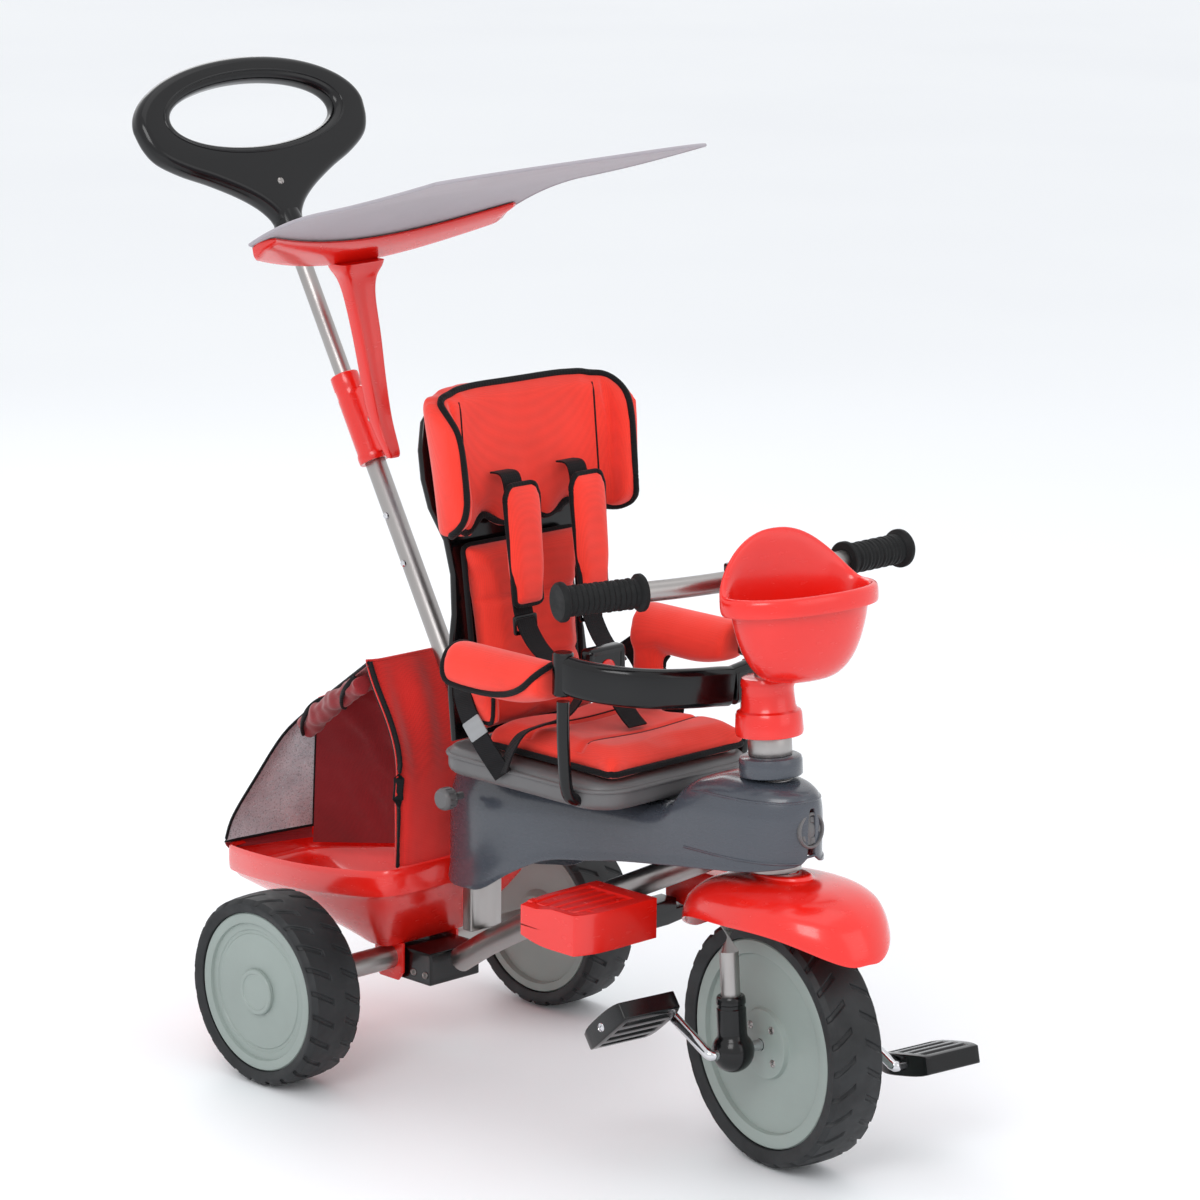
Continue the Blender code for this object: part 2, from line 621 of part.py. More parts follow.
def front_wheel():
    wheel("front", FRONT_RADIUS, FRONT_RIM_RADIUS, FRONT_WIDTH, (CRANK_RADIUS + GAP, 0.036),
          steered, (0, 0, 0), STEER_TILT)
    far = 0.088
    end = 0.160
    x = CRANK_LENGTH * math.cos(CRANK_ANGLE)
    z = CRANK_LENGTH * math.sin(CRANK_ANGLE)
    route = [(x, -end, z), (x, -far, z), (0, -far, 0), (0, far, 0), (-x, far, -z), (-x, end, -z)]
    put(tube("crank_axle", route, CRANK_RADIUS, 2), CHROME, steered)
    for side, sign in SIDES:
        tilt = math.radians(-35 if sign < 0 else -8)
        pivot = frame_at(f"pedal_axis_{side}", steered, (-sign * x, sign * 0.096, -sign * z),
                         (0, tilt, 0))
        low, high = sorted((0.0, sign * 0.074))
        pedal = box(f"pedal_{side}", (-0.037, low, -0.011), (0.037, high, 0.011), 0.004)
        bore(pedal, CRANK_RADIUS + GAP, (0, -sign * 0.01, 0), (0, sign * 0.10, 0), pivot, 16)
        put(pedal, BLACK_PLASTIC, pivot)


def push_bar():
    inner = UPPER_TUBE_RADIUS + 0.0004
    lower = turned("push_bar_lower_tube", [
        (LOWER_TUBE_RADIUS, 0.395), (LOWER_TUBE_RADIUS, -0.070), (inner, -0.070), (inner, 0.395),
    ], 24, ring=True)
    put(smooth(lower), STEEL, bar)
    upper = turned("push_bar_upper_tube", [
        (0, 0.6210), (UPPER_TUBE_RADIUS, 0.6210), (UPPER_TUBE_RADIUS, 0.200), (0, 0.200),
    ], 20)
    put(smooth(upper), STEEL, bar)
    handle_centre = 0.744
    top = arc((0, 0), (0.148, 0.067), 0, 180, 13)
    left = [(-0.145, -0.018), (-0.130, -0.040), (-0.080, -0.069), (-0.050, -0.086),
            (-0.026, -0.105), (-0.016, -0.1225)]
    outline = top + left + [(-y, z) for y, z in reversed(left)]
    hole = arc((0, 0.002), (0.106, 0.0375), 0, 340, 18)
    loop = plate("push_handle", [outline, hole], 0.024, 0.007, 1)
    put(loop, BLACK_PLASTIC, bar, (0, 0, handle_centre), (math.radians(90), 0, math.radians(90)))


def canopy():
    """The clamp on the push bar, with its post, the curved holder and the sun sheet."""
    sleeve = turned("canopy_clamp_sleeve", [
        (0.0150, 0.4450), (0.0155, 0.4420), (0.0155, 0.3560), (0.0165, 0.3530), (0.0165, 0.3460),
        (LOWER_TUBE_RADIUS + GAP, 0.3460), (LOWER_TUBE_RADIUS + GAP, 0.4450),
    ], 24, ring=True)
    put(smooth(sleeve), RED_PLASTIC, bar)
    upright = frame_at("canopy_upright", bar, (0, 0, 0), (0, BAR_LEAN, 0))
    foot = (BAR_FOOT[0], BAR_FOOT[2])

    def post_ring(x, z, half_x, half_y):
        x, z = x - foot[0], z - foot[1]
        return [(x - half_x, -half_y, z), (x + half_x, -half_y, z), (x + half_x, half_y, z),
                (x - half_x, half_y, z)]

    post = loft("canopy_post", [
        post_ring(-0.0390, 0.628, 0.0050, 0.008), post_ring(-0.0560, 0.665, 0.0090, 0.010),
        post_ring(-0.0750, 0.750, 0.0100, 0.014), post_ring(-0.0880, 0.800, 0.0110, 0.016),
        post_ring(-0.0900, 0.8260, 0.0150, 0.024),
    ], cap_first=True, cap_last=True)
    put(post, RED_PLASTIC, upright)

    def sheet_z(x):
        return 0.900 + 0.243 * x - 1.31 * max(0.0, 0.08 - x) ** 2

    def rear_x(y):
        return -0.089 + 0.043 * (abs(y) / 0.16) ** 2

    def row(y, xs, lift):
        return [(x - foot[0], y, sheet_z(x) + lift - foot[1]) for x in xs]

    across = [0.166 * step / 6 for step in range(-6, 7)]
    holder = loft("canopy_holder", [row(y, (rear_x(y) - 0.004, rear_x(y) + 0.030), -0.0075)
                                    for y in across], closed=False)
    put(thicken(holder, 0.009, 0.0), RED_PLASTIC, upright)
    reach = 0.284
    rows = []
    for step in range(-6, 7):
        y = 0.172 * step / 6
        start, end = rear_x(y), reach - 0.020 * abs(step / 6) ** 6
        stops = (0, 0.06, 0.14, 0.25, 0.40, 0.60, 0.80, 1.0)
        rows.append(row(y, [start + (end - start) * stop for stop in stops], 0.0))
    sheet = loft("canopy_sheet", rows, closed=False)
    put(thicken(sheet, 0.003, 0.0), GREY_CANOPY, upright)


rear_axle()
spine()
body_shell()
head()
bucket()
rear_bag()
seat()
safety_ring()
footrests()
knob()
fork()
mudguard()
column()
basket()
handlebar()
front_wheel()
push_bar()
canopy()
bpy.context.view_layer.update()
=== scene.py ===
"""Children's tricycle: the finished surfaces, fabrics and fittings around its frame."""

import math

import bpy
from mathutils import Matrix, Vector


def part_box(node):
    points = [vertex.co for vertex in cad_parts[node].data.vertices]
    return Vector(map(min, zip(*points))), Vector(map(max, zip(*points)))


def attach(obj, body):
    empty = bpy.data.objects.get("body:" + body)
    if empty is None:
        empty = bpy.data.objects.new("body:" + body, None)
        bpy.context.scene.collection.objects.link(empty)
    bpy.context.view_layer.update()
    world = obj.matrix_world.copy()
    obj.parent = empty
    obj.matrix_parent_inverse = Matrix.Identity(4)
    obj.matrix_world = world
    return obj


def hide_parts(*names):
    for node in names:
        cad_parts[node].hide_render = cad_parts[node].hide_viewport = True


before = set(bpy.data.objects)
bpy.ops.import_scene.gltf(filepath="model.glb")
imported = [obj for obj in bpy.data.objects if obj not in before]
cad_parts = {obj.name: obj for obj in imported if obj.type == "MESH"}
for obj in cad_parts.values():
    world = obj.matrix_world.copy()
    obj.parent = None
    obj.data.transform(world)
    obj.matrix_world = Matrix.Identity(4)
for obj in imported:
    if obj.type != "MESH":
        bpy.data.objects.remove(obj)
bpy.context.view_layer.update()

AXLE_X = (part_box("rear_axle_rod")[0].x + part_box("rear_axle_rod")[1].x) / 2
STEER_ANGLE = math.radians(-9.0)
BAR_LEAN = math.radians(29.9)
SIDES = (("right", -1), ("left", 1))
QUARTER = math.radians(90)


def turn(angle, axis):
    return Matrix.Rotation(angle, 4, axis)


def at(x, y, z):
    return Matrix.Translation((x, y, z))


def facing(sign, axis="Z"):
    """Turned right round on the negative side."""
    return turn(0 if sign > 0 else math.pi, axis)


WORLD = Matrix.Identity(4)
TRIKE = at(AXLE_X, 0, 0)
HEAD = at(AXLE_X + 0.527, 0, 0.1253) @ turn(math.radians(-4.5), "Y")
STEERED = HEAD @ turn(STEER_ANGLE, "Z")
BAR_FOOT = (0.105, 0.318)
BAR_AXIS = at(AXLE_X + BAR_FOOT[0], 0, BAR_FOOT[1]) @ turn(-BAR_LEAN, "Y")
BAR = BAR_AXIS @ turn(STEER_ANGLE / 2, "Z")
UPRIGHT = BAR @ turn(BAR_LEAN, "Y")
BACK = at(AXLE_X + 0.158, 0, 0.3723) @ turn(math.radians(-6.0), "Y")
TO_Y = turn(-QUARTER, "X")
STANDING = turn(QUARTER, "Z") @ turn(QUARTER, "X")


# ---------------------------------------------------------------- finishes

def tone(red, green, blue):
    """A paint colour given as it looks, from 0 to 255, as the shader needs it."""
    return tuple(((value / 255 + 0.055) / 1.055) ** 2.4 if value > 10 else value / 3294
                 for value in (red, green, blue))


def darker(colour, share):
    return tuple(value * share for value in colour)


class Finish:
    """One procedural material, built up from a few layers on object coordinates."""

    def __init__(self, name, roughness, metallic=0.0):
        self.material = bpy.data.materials.new(name)
        self.material.use_nodes = True
        self.nodes = self.material.node_tree.nodes
        self.link = self.material.node_tree.links.new
        self.shader = self.nodes["Principled BSDF"]
        self.set(Metallic=metallic, Roughness=roughness)
        self.place = self.nodes.new("ShaderNodeTexCoord").outputs["Object"]

    def set(self, **values):
        for name, value in values.items():
            self.shader.inputs[name.replace("_", " ")].default_value = value
        return self.material

    def add(self, kind, source, socket, **values):
        """A node fed by a source, with its values set."""
        node = self.nodes.new("ShaderNode" + kind)
        for name, value in values.items():
            node.inputs[name.replace("_", " ")].default_value = value
        self.link(source, node.inputs[socket])
        return node

    def clouds(self, scale, detail=3.0, stretch=(1, 1, 1)):
        spread = self.add("Mapping", self.place, "Vector", Scale=stretch).outputs["Vector"]
        return self.add("TexNoise", spread, "Vector", Scale=scale, Detail=detail).outputs["Fac"]

    def stripes(self, axis, period):
        node = self.add("TexWave", self.place, "Vector", Scale=2 * math.pi / (20 * period))
        node.bands_direction = axis
        return node.outputs["Fac"]

    def combine(self, operation, first, second):
        node = self.add("Math", first, 0)
        node.operation = operation
        if isinstance(second, float):
            node.inputs[1].default_value = second
        else:
            self.link(second, node.inputs[1])
        return node.outputs["Value"]

    def colour(self, source, *stops):
        """Two colours along a value, as (position, colour) pairs."""
        node = self.add("ValToRGB", source, "Fac")
        for point, (position, colour) in zip(node.color_ramp.elements, stops):
            point.position = position
            point.color = (*colour, 1.0)
        self.link(node.outputs["Color"], self.shader.inputs["Base Color"])

    def roughen(self, source, low, high):
        node = self.add("MapRange", source, "Value", To_Min=low, To_Max=high)
        self.link(node.outputs["Result"], self.shader.inputs["Roughness"])

    def raise_by(self, source, height, strength=1.0):
        node = self.add("Bump", source, "Height", Distance=height, Strength=strength)
        relief = self.shader.inputs["Normal"]
        if relief.links:
            self.link(relief.links[0].from_socket, node.inputs["Normal"])
        self.link(node.outputs["Normal"], relief)


def moulded(name, colour, roughness, coat=0.25, grain=0.00006, shine=0.5):
    """Injection-moulded plastic: slight flow clouds, fine grain and handling marks."""
    made = Finish(name, roughness)
    made.colour(made.clouds(9, 4), (0.3, darker(colour, 0.88)), (0.7, colour))
    made.roughen(made.clouds(60, 6, (1, 1, 3)), roughness * 0.75, roughness * 1.35)
    made.raise_by(made.clouds(900, 2), grain, 0.35)
    return made.set(Coat_Weight=coat, Coat_Roughness=0.12, Specular_IOR_Level=shine)


def woven(name, colour, shade, thread=0.0014, folds=0.0012):
    """Plain-weave cloth with slow folds and a little fading."""
    made = Finish(name, 0.85)
    cross = made.combine("ADD", made.stripes("X", thread), made.stripes("Y", thread))
    weave = made.combine("MULTIPLY", made.combine("ADD", cross, made.stripes("Z", thread)), 0.33)
    fade = made.combine("ADD", made.combine("MULTIPLY", made.clouds(14, 5), 0.75),
                        made.combine("MULTIPLY", weave, 0.25))
    made.colour(fade, (0.28, darker(colour, shade)), (0.62, colour))
    made.raise_by(made.clouds(26, 4), folds, 0.5)
    made.raise_by(weave, 0.00025, 0.6)
    made.roughen(made.clouds(40, 2), 0.75, 0.95)
    return made.set(Sheen_Weight=0.25, Sheen_Roughness=0.5)


def ribbed(name, colour, axis, period=0.0022):
    """Woven strap: ribs across its length."""
    made = Finish(name, 0.75)
    ribs = made.combine("MULTIPLY", made.combine("ADD", made.stripes(axis, period),
                                                 made.stripes("Y", period * 1.3)), 0.5)
    made.colour(ribs, (0.2, darker(colour, 0.6)), (0.8, colour))
    made.raise_by(ribs, 0.0004, 0.8)
    made.roughen(made.clouds(80, 2), 0.65, 0.85)
    return made.set(Sheen_Weight=0.05, Specular_IOR_Level=0.2)


def tubing(name, colour, roughness, stretch):
    """Metal with fine drawn lines."""
    made = Finish(name, roughness, 1.0)
    lines = made.clouds(120, 5, stretch)
    made.colour(made.clouds(12, 3), (0.3, darker(colour, 0.86)), (0.7, colour))
    made.roughen(lines, roughness * 0.7, roughness * 1.4)
    made.raise_by(lines, 0.00008, 0.25)
    return made.set(Specular_IOR_Level=0.5)


def tyre_rubber():
    made = Finish("tyre_rubber", 0.55)
    made.colour(made.clouds(22, 6), (0.35, tone(19, 20, 22)), (0.75, tone(38, 40, 42)))
    made.roughen(made.clouds(90, 4), 0.42, 0.72)
    made.raise_by(made.clouds(500, 3), 0.00012, 0.4)
    return made.set(Specular_IOR_Level=0.45)


def net():
    """Open knitted mesh: threads with clear holes between them."""
    cell = 0.0024
    made = Finish("bag_net", 0.8)
    made.colour(made.clouds(40, 3), (0.3, tone(176, 181, 186)), (0.7, tone(200, 205, 209)))
    threads = made.add("TexVoronoi", made.place, "Vector", Scale=1 / cell).outputs["Distance"]
    hole = made.add("MapRange", threads, "Value", From_Min=0.20, From_Max=0.46, To_Min=0.50)
    made.link(hole.outputs["Result"], made.shader.inputs["Alpha"])
    made.raise_by(threads, 0.0004, 0.6)
    return made.set(Sheen_Weight=0.2)


RED = moulded("red_moulding", tone(234, 28, 18), 0.24, 0.5)
SLATE = moulded("slate_moulding", tone(66, 71, 80), 0.26, 0.35)
GREY = moulded("grey_moulding", tone(98, 97, 98), 0.45, 0.1)
PALE = moulded("wheel_moulding", tone(146, 157, 152), 0.42, 0.12, 0.0001)
BLACK = moulded("black_moulding", tone(9, 9, 11), 0.18, 0.2, shine=0.3)
GRIP = moulded("grip_rubber", tone(17, 18, 19), 0.6, 0.0, 0.0003, 0.25)
CLOTH = woven("red_cloth", tone(244, 54, 36), 0.80)
BAG_CLOTH = woven("bag_cloth", tone(228, 34, 26), 0.68, 0.0018, 0.003)
# Painted shade: the bag cloth darkened to the shaded red of the bag's inside; the rolled flap and
# the tail strip take the same darkened cloth.
BAG_CLOTH_PAINTED_SHADE = woven("bag_lining_painted_shade", tone(140, 16, 26), 0.70, 0.0018, 0.002)
CANOPY_CLOTH = woven("canopy_cloth", tone(166, 160, 167), 0.90, 0.0012, 0.0006)
PIPING = ribbed("black_piping", tone(15, 14, 17), "Z", 0.003)
WEBBING = ribbed("black_webbing", tone(17, 16, 19), "Z")
SILVER_PATCH = woven("silver_patch", tone(150, 152, 154), 0.85, 0.001, 0.0004)
STEEL = tubing("drawn_steel", tone(176, 172, 170), 0.34, (1, 1, 0.15))
CHROME = tubing("bright_steel", tone(215, 215, 218), 0.12, (1, 0.2, 1))
RUBBER = tyre_rubber()
NET = net()


# ---------------------------------------------------------------- shaping

def pick_only(obj):
    bpy.ops.object.select_all(action="DESELECT")
    obj.select_set(True)
    bpy.context.view_layer.objects.active = obj


def apply_modifiers(obj):
    pick_only(obj)
    for modifier in list(obj.modifiers):
        bpy.ops.object.modifier_apply(modifier=modifier.name)


def edit(obj, *steps):
    """Runs edit-mode operators on the whole mesh."""
    pick_only(obj)
    bpy.ops.object.mode_set(mode="EDIT")
    bpy.ops.mesh.select_mode(type="VERT")
    bpy.ops.mesh.select_all(action="SELECT")
    for step in steps:
        step()
    bpy.ops.object.mode_set(mode="OBJECT")
    return obj


def merge():
    bpy.ops.mesh.remove_doubles(threshold=0.00005)


def face_out():
    bpy.ops.mesh.normals_make_consistent(inside=False)


def select_all():
    bpy.ops.mesh.select_all(action="SELECT")


def divide(obj, cuts):
    return edit(obj, lambda: bpy.ops.mesh.subdivide(number_cuts=cuts))


def inset_faces(obj, thickness, depth, wanted):
    """Insets the faces whose centre and normal pass a test."""
    pick_only(obj)
    bpy.ops.object.mode_set(mode="EDIT")
    bpy.ops.mesh.select_mode(type="FACE")
    bpy.ops.mesh.select_all(action="DESELECT")
    bpy.ops.object.mode_set(mode="OBJECT")
    for face in obj.data.polygons:
        face.select = wanted(face.center, face.normal)
    bpy.ops.object.mode_set(mode="EDIT")
    bpy.ops.mesh.inset(thickness=thickness, depth=depth)
    bpy.ops.object.mode_set(mode="OBJECT")
    return obj


def moved(obj, place):
    obj.matrix_world = place @ obj.matrix_world
    pick_only(obj)
    bpy.ops.object.transform_apply(location=True, rotation=True, scale=True)
    return obj


def settle(obj, name, material, place=TRIKE, body="frame", nodes=(), angle=35.0, slot=None):
    """Names a finished shape, puts its place in its mesh and hangs it on its body."""
    apply_modifiers(obj)
    obj.name = obj.data.name = name
    moved(obj, place)
    if angle:
        bpy.ops.object.shade_smooth_by_angle(angle=math.radians(angle))
    obj.data.materials.clear()
    obj.data.materials.append(material)
    if nodes:
        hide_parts(*nodes)
    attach(obj, body)
    return obj


def stand_in(obj, name, material, place=TRIKE, body="frame", **more):
    """Settles a shape in place of the frame's node of that name."""
    return settle(obj, name, material, place, body, [name], **more)


def stuffed(obj, name, place):
    """Settles a cloth pad, smooth all over, in place of the frame's node of that name."""
    stand_in(obj, name, CLOTH, place, angle=0)
    pick_only(obj)
    bpy.ops.object.shade_smooth()
    return obj


def bevel(obj, width, segments=3, angle=40.0):
    rounding = obj.modifiers.new("rounding", "BEVEL")
    rounding.width = width
    rounding.segments = segments
    rounding.angle_limit = math.radians(angle)
    return obj


def thicken(obj, thickness, offset=0.0):
    wall = obj.modifiers.new("wall", "SOLIDIFY")
    wall.thickness = thickness
    wall.offset = offset
    return obj


def subdivide(obj):
    finer = obj.modifiers.new("finer", "SUBSURF")
    finer.levels = finer.render_levels = 1
    return obj


def start(add, **values):
    """A new object from an add operator, with nothing else selected."""
    bpy.ops.object.select_all(action="DESELECT")
    add(**values)
    return bpy.context.object


def start_block(low, high):
    """A cube between two corners, ready to shape."""
    obj = start(bpy.ops.mesh.primitive_cube_add, size=1)
    for vertex in obj.data.vertices:
        vertex.co = [l + (h - l) * (c + 0.5) for l, h, c in zip(low, high, vertex.co)]
    return obj


def start_patch(across, along, rule, closed=False):
    """A grid laid out by a rule of two shares, each from 0 to 1."""
    obj = start(bpy.ops.mesh.primitive_grid_add, x_subdivisions=across, y_subdivisions=along,
                size=1)
    for vertex in obj.data.vertices:
        vertex.co = rule(vertex.co.x + 0.5, vertex.co.y + 0.5)
    return edit(obj, merge, face_out) if closed else obj


def start_shell(across, along, rule, wall, offset=0.0, closed=False, edge=0.0):
    """A patch that faces outwards, with a wall and softened edges."""
    obj = start_patch(across, along, rule, closed)
    if not closed:
        edit(obj, face_out)
    thicken(obj, wall, offset)
    return bevel(obj, edge, 2, 60) if edge else obj


def start_turned(profile, steps=48):
    """A profile of (radius, height) points spun once round local Z."""
    obj = start(bpy.ops.mesh.primitive_circle_add, vertices=len(profile), fill_type="NOTHING")
    for vertex, (radius, height) in zip(obj.data.vertices, profile):
        vertex.co = (radius, 0, height)
    return edit(obj, lambda: bpy.ops.mesh.spin(steps=steps, angle=2 * math.pi,
                                               center=(0, 0, 0), axis=(0, 0, 1)),
                select_all, merge,
                lambda: bpy.ops.mesh.dissolve_degenerate(threshold=0.00001),
                select_all, lambda: bpy.ops.mesh.delete_loose(use_faces=False), face_out)


def from_curve(obj):
    pick_only(obj)
    bpy.ops.object.convert(target="MESH")
    return edit(bpy.context.object, merge, face_out)


def start_rod(points, radius, closed=False, sides=6, flat=0.0, smooth=False):
    """A round bar along a run of points, or a flat one when flat is its half-width."""
    obj = start(bpy.ops.curve.primitive_nurbs_path_add)
    curve = obj.data
    curve.splines.clear()
    spline = curve.splines.new("NURBS" if smooth else "POLY")
    spline.points.add(len(points) - 1)
    for target, point in zip(spline.points, points):
        target.co = (*point, 1.0)
    spline.use_cyclic_u = closed
    if smooth:
        spline.order_u = 3
        spline.use_endpoint_u = not closed
        spline.resolution_u = 6
    curve.twist_mode = "Z_UP"
    curve.bevel_depth = radius
    curve.bevel_resolution = sides
    curve.extrude = flat
    curve.use_fill_caps = True
    return from_curve(obj)


def start_plate(outlines, thickness, edge, steps=5):
    """A flat piece with rounded edges, from outlines of which the later ones are holes."""
    obj = start(bpy.ops.curve.primitive_bezier_circle_add)
    curve = obj.data
    curve.dimensions = "2D"
    curve.fill_mode = "BOTH"
    curve.splines.clear()
    for outline in outlines:
        spline = curve.splines.new("POLY")
        spline.points.add(len(outline) - 1)
        for target, (x, y) in zip(spline.points, outline):
            target.co = (x, y, 0, 1)
        spline.use_cyclic_u = True
    curve.extrude = thickness / 2 - edge
    curve.bevel_depth = edge
    curve.offset = -edge
    curve.bevel_resolution = steps
    return from_curve(obj)


def joined(first, *others):
    bpy.ops.object.select_all(action="DESELECT")
    for obj in (first, *others):
        obj.select_set(True)
    bpy.context.view_layer.objects.active = first
    bpy.ops.object.join()
    return first


def screw_head(radius, height):
    """A domed screw head with a cross slot, standing on local z = 0."""
    head = start_turned([(0, height), (radius * 0.55, height * 0.92), (radius * 0.9, height * 0.5),
                         (radius, 0), (0, 0)], 20)
    return inset_faces(head, radius * 0.03, -height * 0.4, lambda centre, normal: (
        centre.z > height * 0.6 and min(abs(centre.x), abs(centre.y)) < radius * 0.16))


def mirrored(half):
    """A half outline, run back the other way with its second number turned round."""
    return half + [(x, -y) for x, y in reversed(half)]


def mirrored_across(half):
    return half + [(-x, y) for x, y in reversed(half)]


def squarer(value, power):
    """A sine or cosine raised to a power with its sign kept, for rounded squares."""
    return math.copysign(abs(value) ** power, value)


def clamped(value, low=0.0, high=1.0):
    return max(low, min(high, value))


def flow(stops, share):
    """A smooth curve through evenly spaced stops."""
    place = clamped(share) * (len(stops) - 1)
    index = min(int(place), len(stops) - 2)
    t = place - index
    a, b, c, d = (Vector(stops[clamped(index + k, 0, len(stops) - 1)]) for k in (-1, 0, 1, 2))
    return 0.5 * (2 * b + (c - a) * t + (2 * a - 5 * b + 4 * c - d) * t ** 2
                  + (3 * b - a - 3 * c + d) * t ** 3)


def flowing(stops, count, closed=False):
    """Points along a smooth curve through the stops."""
    if closed:
        wrapped = [*stops, *stops[:4]]
        share = len(stops) / (len(wrapped) - 1)
        first = 1 / (len(wrapped) - 1)
        return [flow(wrapped, first + share * k / count) for k in range(count)]
    return [flow(stops, k / (count - 1)) for k in range(count)]


def arc(radii, first, last, count, centre=(0, 0)):
    turns = [math.radians(first + (last - first) * k / (count - 1)) for k in range(count)]
    return [(centre[0] + radii[0] * math.cos(a), centre[1] + radii[1] * math.sin(a))
            for a in turns]


def plump(obj, cell, cap, pressure=4.0, keep_off=None):
    """Fills a pad by a short cloth simulation, then lays it back within a cap."""
    apply_modifiers(obj)
    remesh = obj.modifiers.new("even_cells", "REMESH")
    remesh.mode = "VOXEL"
    remesh.voxel_size = cell
    apply_modifiers(obj)
    before = [vertex.co.copy() for vertex in obj.data.vertices]
    cloth = obj.modifiers.new("filling", "CLOTH")
    cloth.settings.quality = 5
    cloth.settings.use_pressure = True
    cloth.settings.uniform_pressure_force = pressure
    cloth.settings.effector_weights.gravity = 0
    for number in range(1, 21):
        bpy.context.scene.frame_set(number)
    apply_modifiers(obj)
    for vertex, rest in zip(obj.data.vertices, before):
        move = vertex.co - rest
        if move.length > cap:
            vertex.co = rest + move * (cap / move.length)
    bpy.context.scene.frame_set(1)
    if keep_off:
        keep_off(obj)
    smoothing = obj.modifiers.new("smoothing", "SMOOTH")
    smoothing.factor = 0.5
    smoothing.iterations = 4
    apply_modifiers(subdivide(obj))


def snug(obj, points, lift):
    """Points laid on a pad's surface and lifted a little off it."""
    laid = []
    for point in points:
        found, place, normal, _ = obj.closest_point_on_mesh(Vector(point))
        laid.append(place + normal * lift if found else Vector(point))
    return laid


def pipe(name, obj, points, radius, closed=True, lift=0.0, slot=None):
    """A piped edge laid round a pad, in the same frame as the pad's finished mesh."""
    edge = start_rod(snug(obj, points, lift), radius, closed, 3, smooth=True)
    settle(edge, name, PIPING, WORLD, slot=slot)


# ---------------------------------------------------------------- wheels

def make_tyre(name, body, place, radius, rim, width, steps, slant):
    """A tyre with slanted tread grooves pressed in between the blocks."""
    half = width / 2
    tyre = start_turned(mirrored([
        (rim, half - 0.003), (rim + 0.006, half - 0.0005), (radius - 0.0065, half),
        (radius - 0.0020, half * 0.86), (radius - 0.0008, half * 0.58),
        (radius - 0.0002, half * 0.22)]), steps)

    def in_groove(centre, normal):
        step = int(math.degrees(math.atan2(centre.y, centre.x)) % 360 / (360 / steps))
        on_tread = math.hypot(centre.x, centre.y) > radius - 0.0055
        return on_tread and 0.15 < abs(centre.z) / half and step % 4 == (0 if centre.z > 0 else 2)

    inset_faces(tyre, 0.0010, -0.0024, in_groove)
    for vertex in tyre.data.vertices:
        vertex.co = turn(math.radians(slant(vertex.co.z / half)), "Z") @ vertex.co
    stand_in(bevel(tyre, 0.0006, 1, 50), name, RUBBER, place @ TO_Y, body, angle=30)


def make_rear_wheel(side, sign):
    body = f"rear_{side}_wheel"
    place = TRIKE @ at(0, sign * 0.1985, 0.100) @ facing(sign)
    make_tyre(f"rear_{side}_tyre", body, place, 0.100, 0.0838, 0.065, 96, lambda w: 11 * w)
    face = 0.0283
    disc = start_turned([
        (0.0064, face - 0.0032), (0.0250, face - 0.0032), (0.0600, face - 0.0042),
        (0.0612, face - 0.0052), (0.0640, face - 0.0052), (0.0652, face - 0.0040),
        (0.0716, face - 0.0038), (0.0726, face - 0.0006), (0.0738, face), (0.0818, face),
        (0.0832, face - 0.0014), (0.0832, -face + 0.002), (0.0818, -face), (0.0738, -face),
        (0.0722, -face + 0.006), (0.0300, -face + 0.010), (0.0240, -face + 0.001),
        (0.0064, -face + 0.001)], 96)
    stand_in(disc, f"rear_{side}_disc", PALE, place @ TO_Y, body)
    cap = start_turned([
        (0, face + 0.0006), (0.0185, face + 0.0006), (0.0195, face + 0.0016),
        (0.0228, face + 0.0016), (0.0240, face + 0.0004), (0.0243, face - 0.0030),
        (0, face - 0.0030)], 64)
    settle(cap, f"rear_{side}_hub_cap", PALE, place @ TO_Y, body)


def make_front_wheel():
    wheel, bolt_circle, crank = "front_wheel", 0.0235, 0.072
    make_tyre("front_tyre", wheel, STEERED, 0.125, 0.1053, 0.060, 112, lambda w: 9 * abs(w))
    face = 0.0258
    disc = start_turned(mirrored([
        (0.0060, face + 0.0008), (0.0130, face + 0.0006), (0.0150, face - 0.0006),
        (0.0310, face - 0.0008), (0.0345, face - 0.0020), (0.0362, face - 0.0062),
        (0.0400, face - 0.0070), (0.0820, face - 0.0052), (0.0890, face - 0.0050),
        (0.0904, face - 0.0006), (0.0920, face), (0.1032, face), (0.1046, face - 0.0014)]), 112)
    stand_in(disc, "front_disc", PALE, STEERED @ TO_Y, wheel)
    for side, sign in SIDES:
        heads = [moved(screw_head(0.0042, 0.0018), at(bolt_circle * math.cos(a),
                                                      bolt_circle * math.sin(a), face - 0.0009))
                 for a in (math.radians(45 + 90 * step) for step in range(4))]
        settle(joined(*heads), f"front_hub_bolts_{side}", STEEL, STEERED @ facing(sign) @ TO_Y,
               wheel)
    x, z = crank * math.cos(math.radians(153.4)), crank * math.sin(math.radians(153.4))
    corners = [Vector(p) for p in ((x, -0.160, z), (x, -0.088, z), (0, -0.088, 0), (0, 0.088, 0),
                                   (-x, 0.088, -z), (-x, 0.160, -z))]
    route = [corners[0]]
    for a, b, c in zip(corners, corners[1:], corners[2:]):
        route += [b + (a - b).normalized() * 0.009, b, b + (c - b).normalized() * 0.009]
    route.append(corners[-1])
    stand_in(start_rod(route, 0.0055, sides=5, smooth=True), "crank_axle", CHROME, STEERED, wheel)
    for side, sign in SIDES:
        tilt = math.radians(-35 if sign < 0 else -8)
        make_pedal(side, sign, STEERED @ at(-sign * x, sign * 0.096, -sign * z) @ turn(tilt, "Y"))


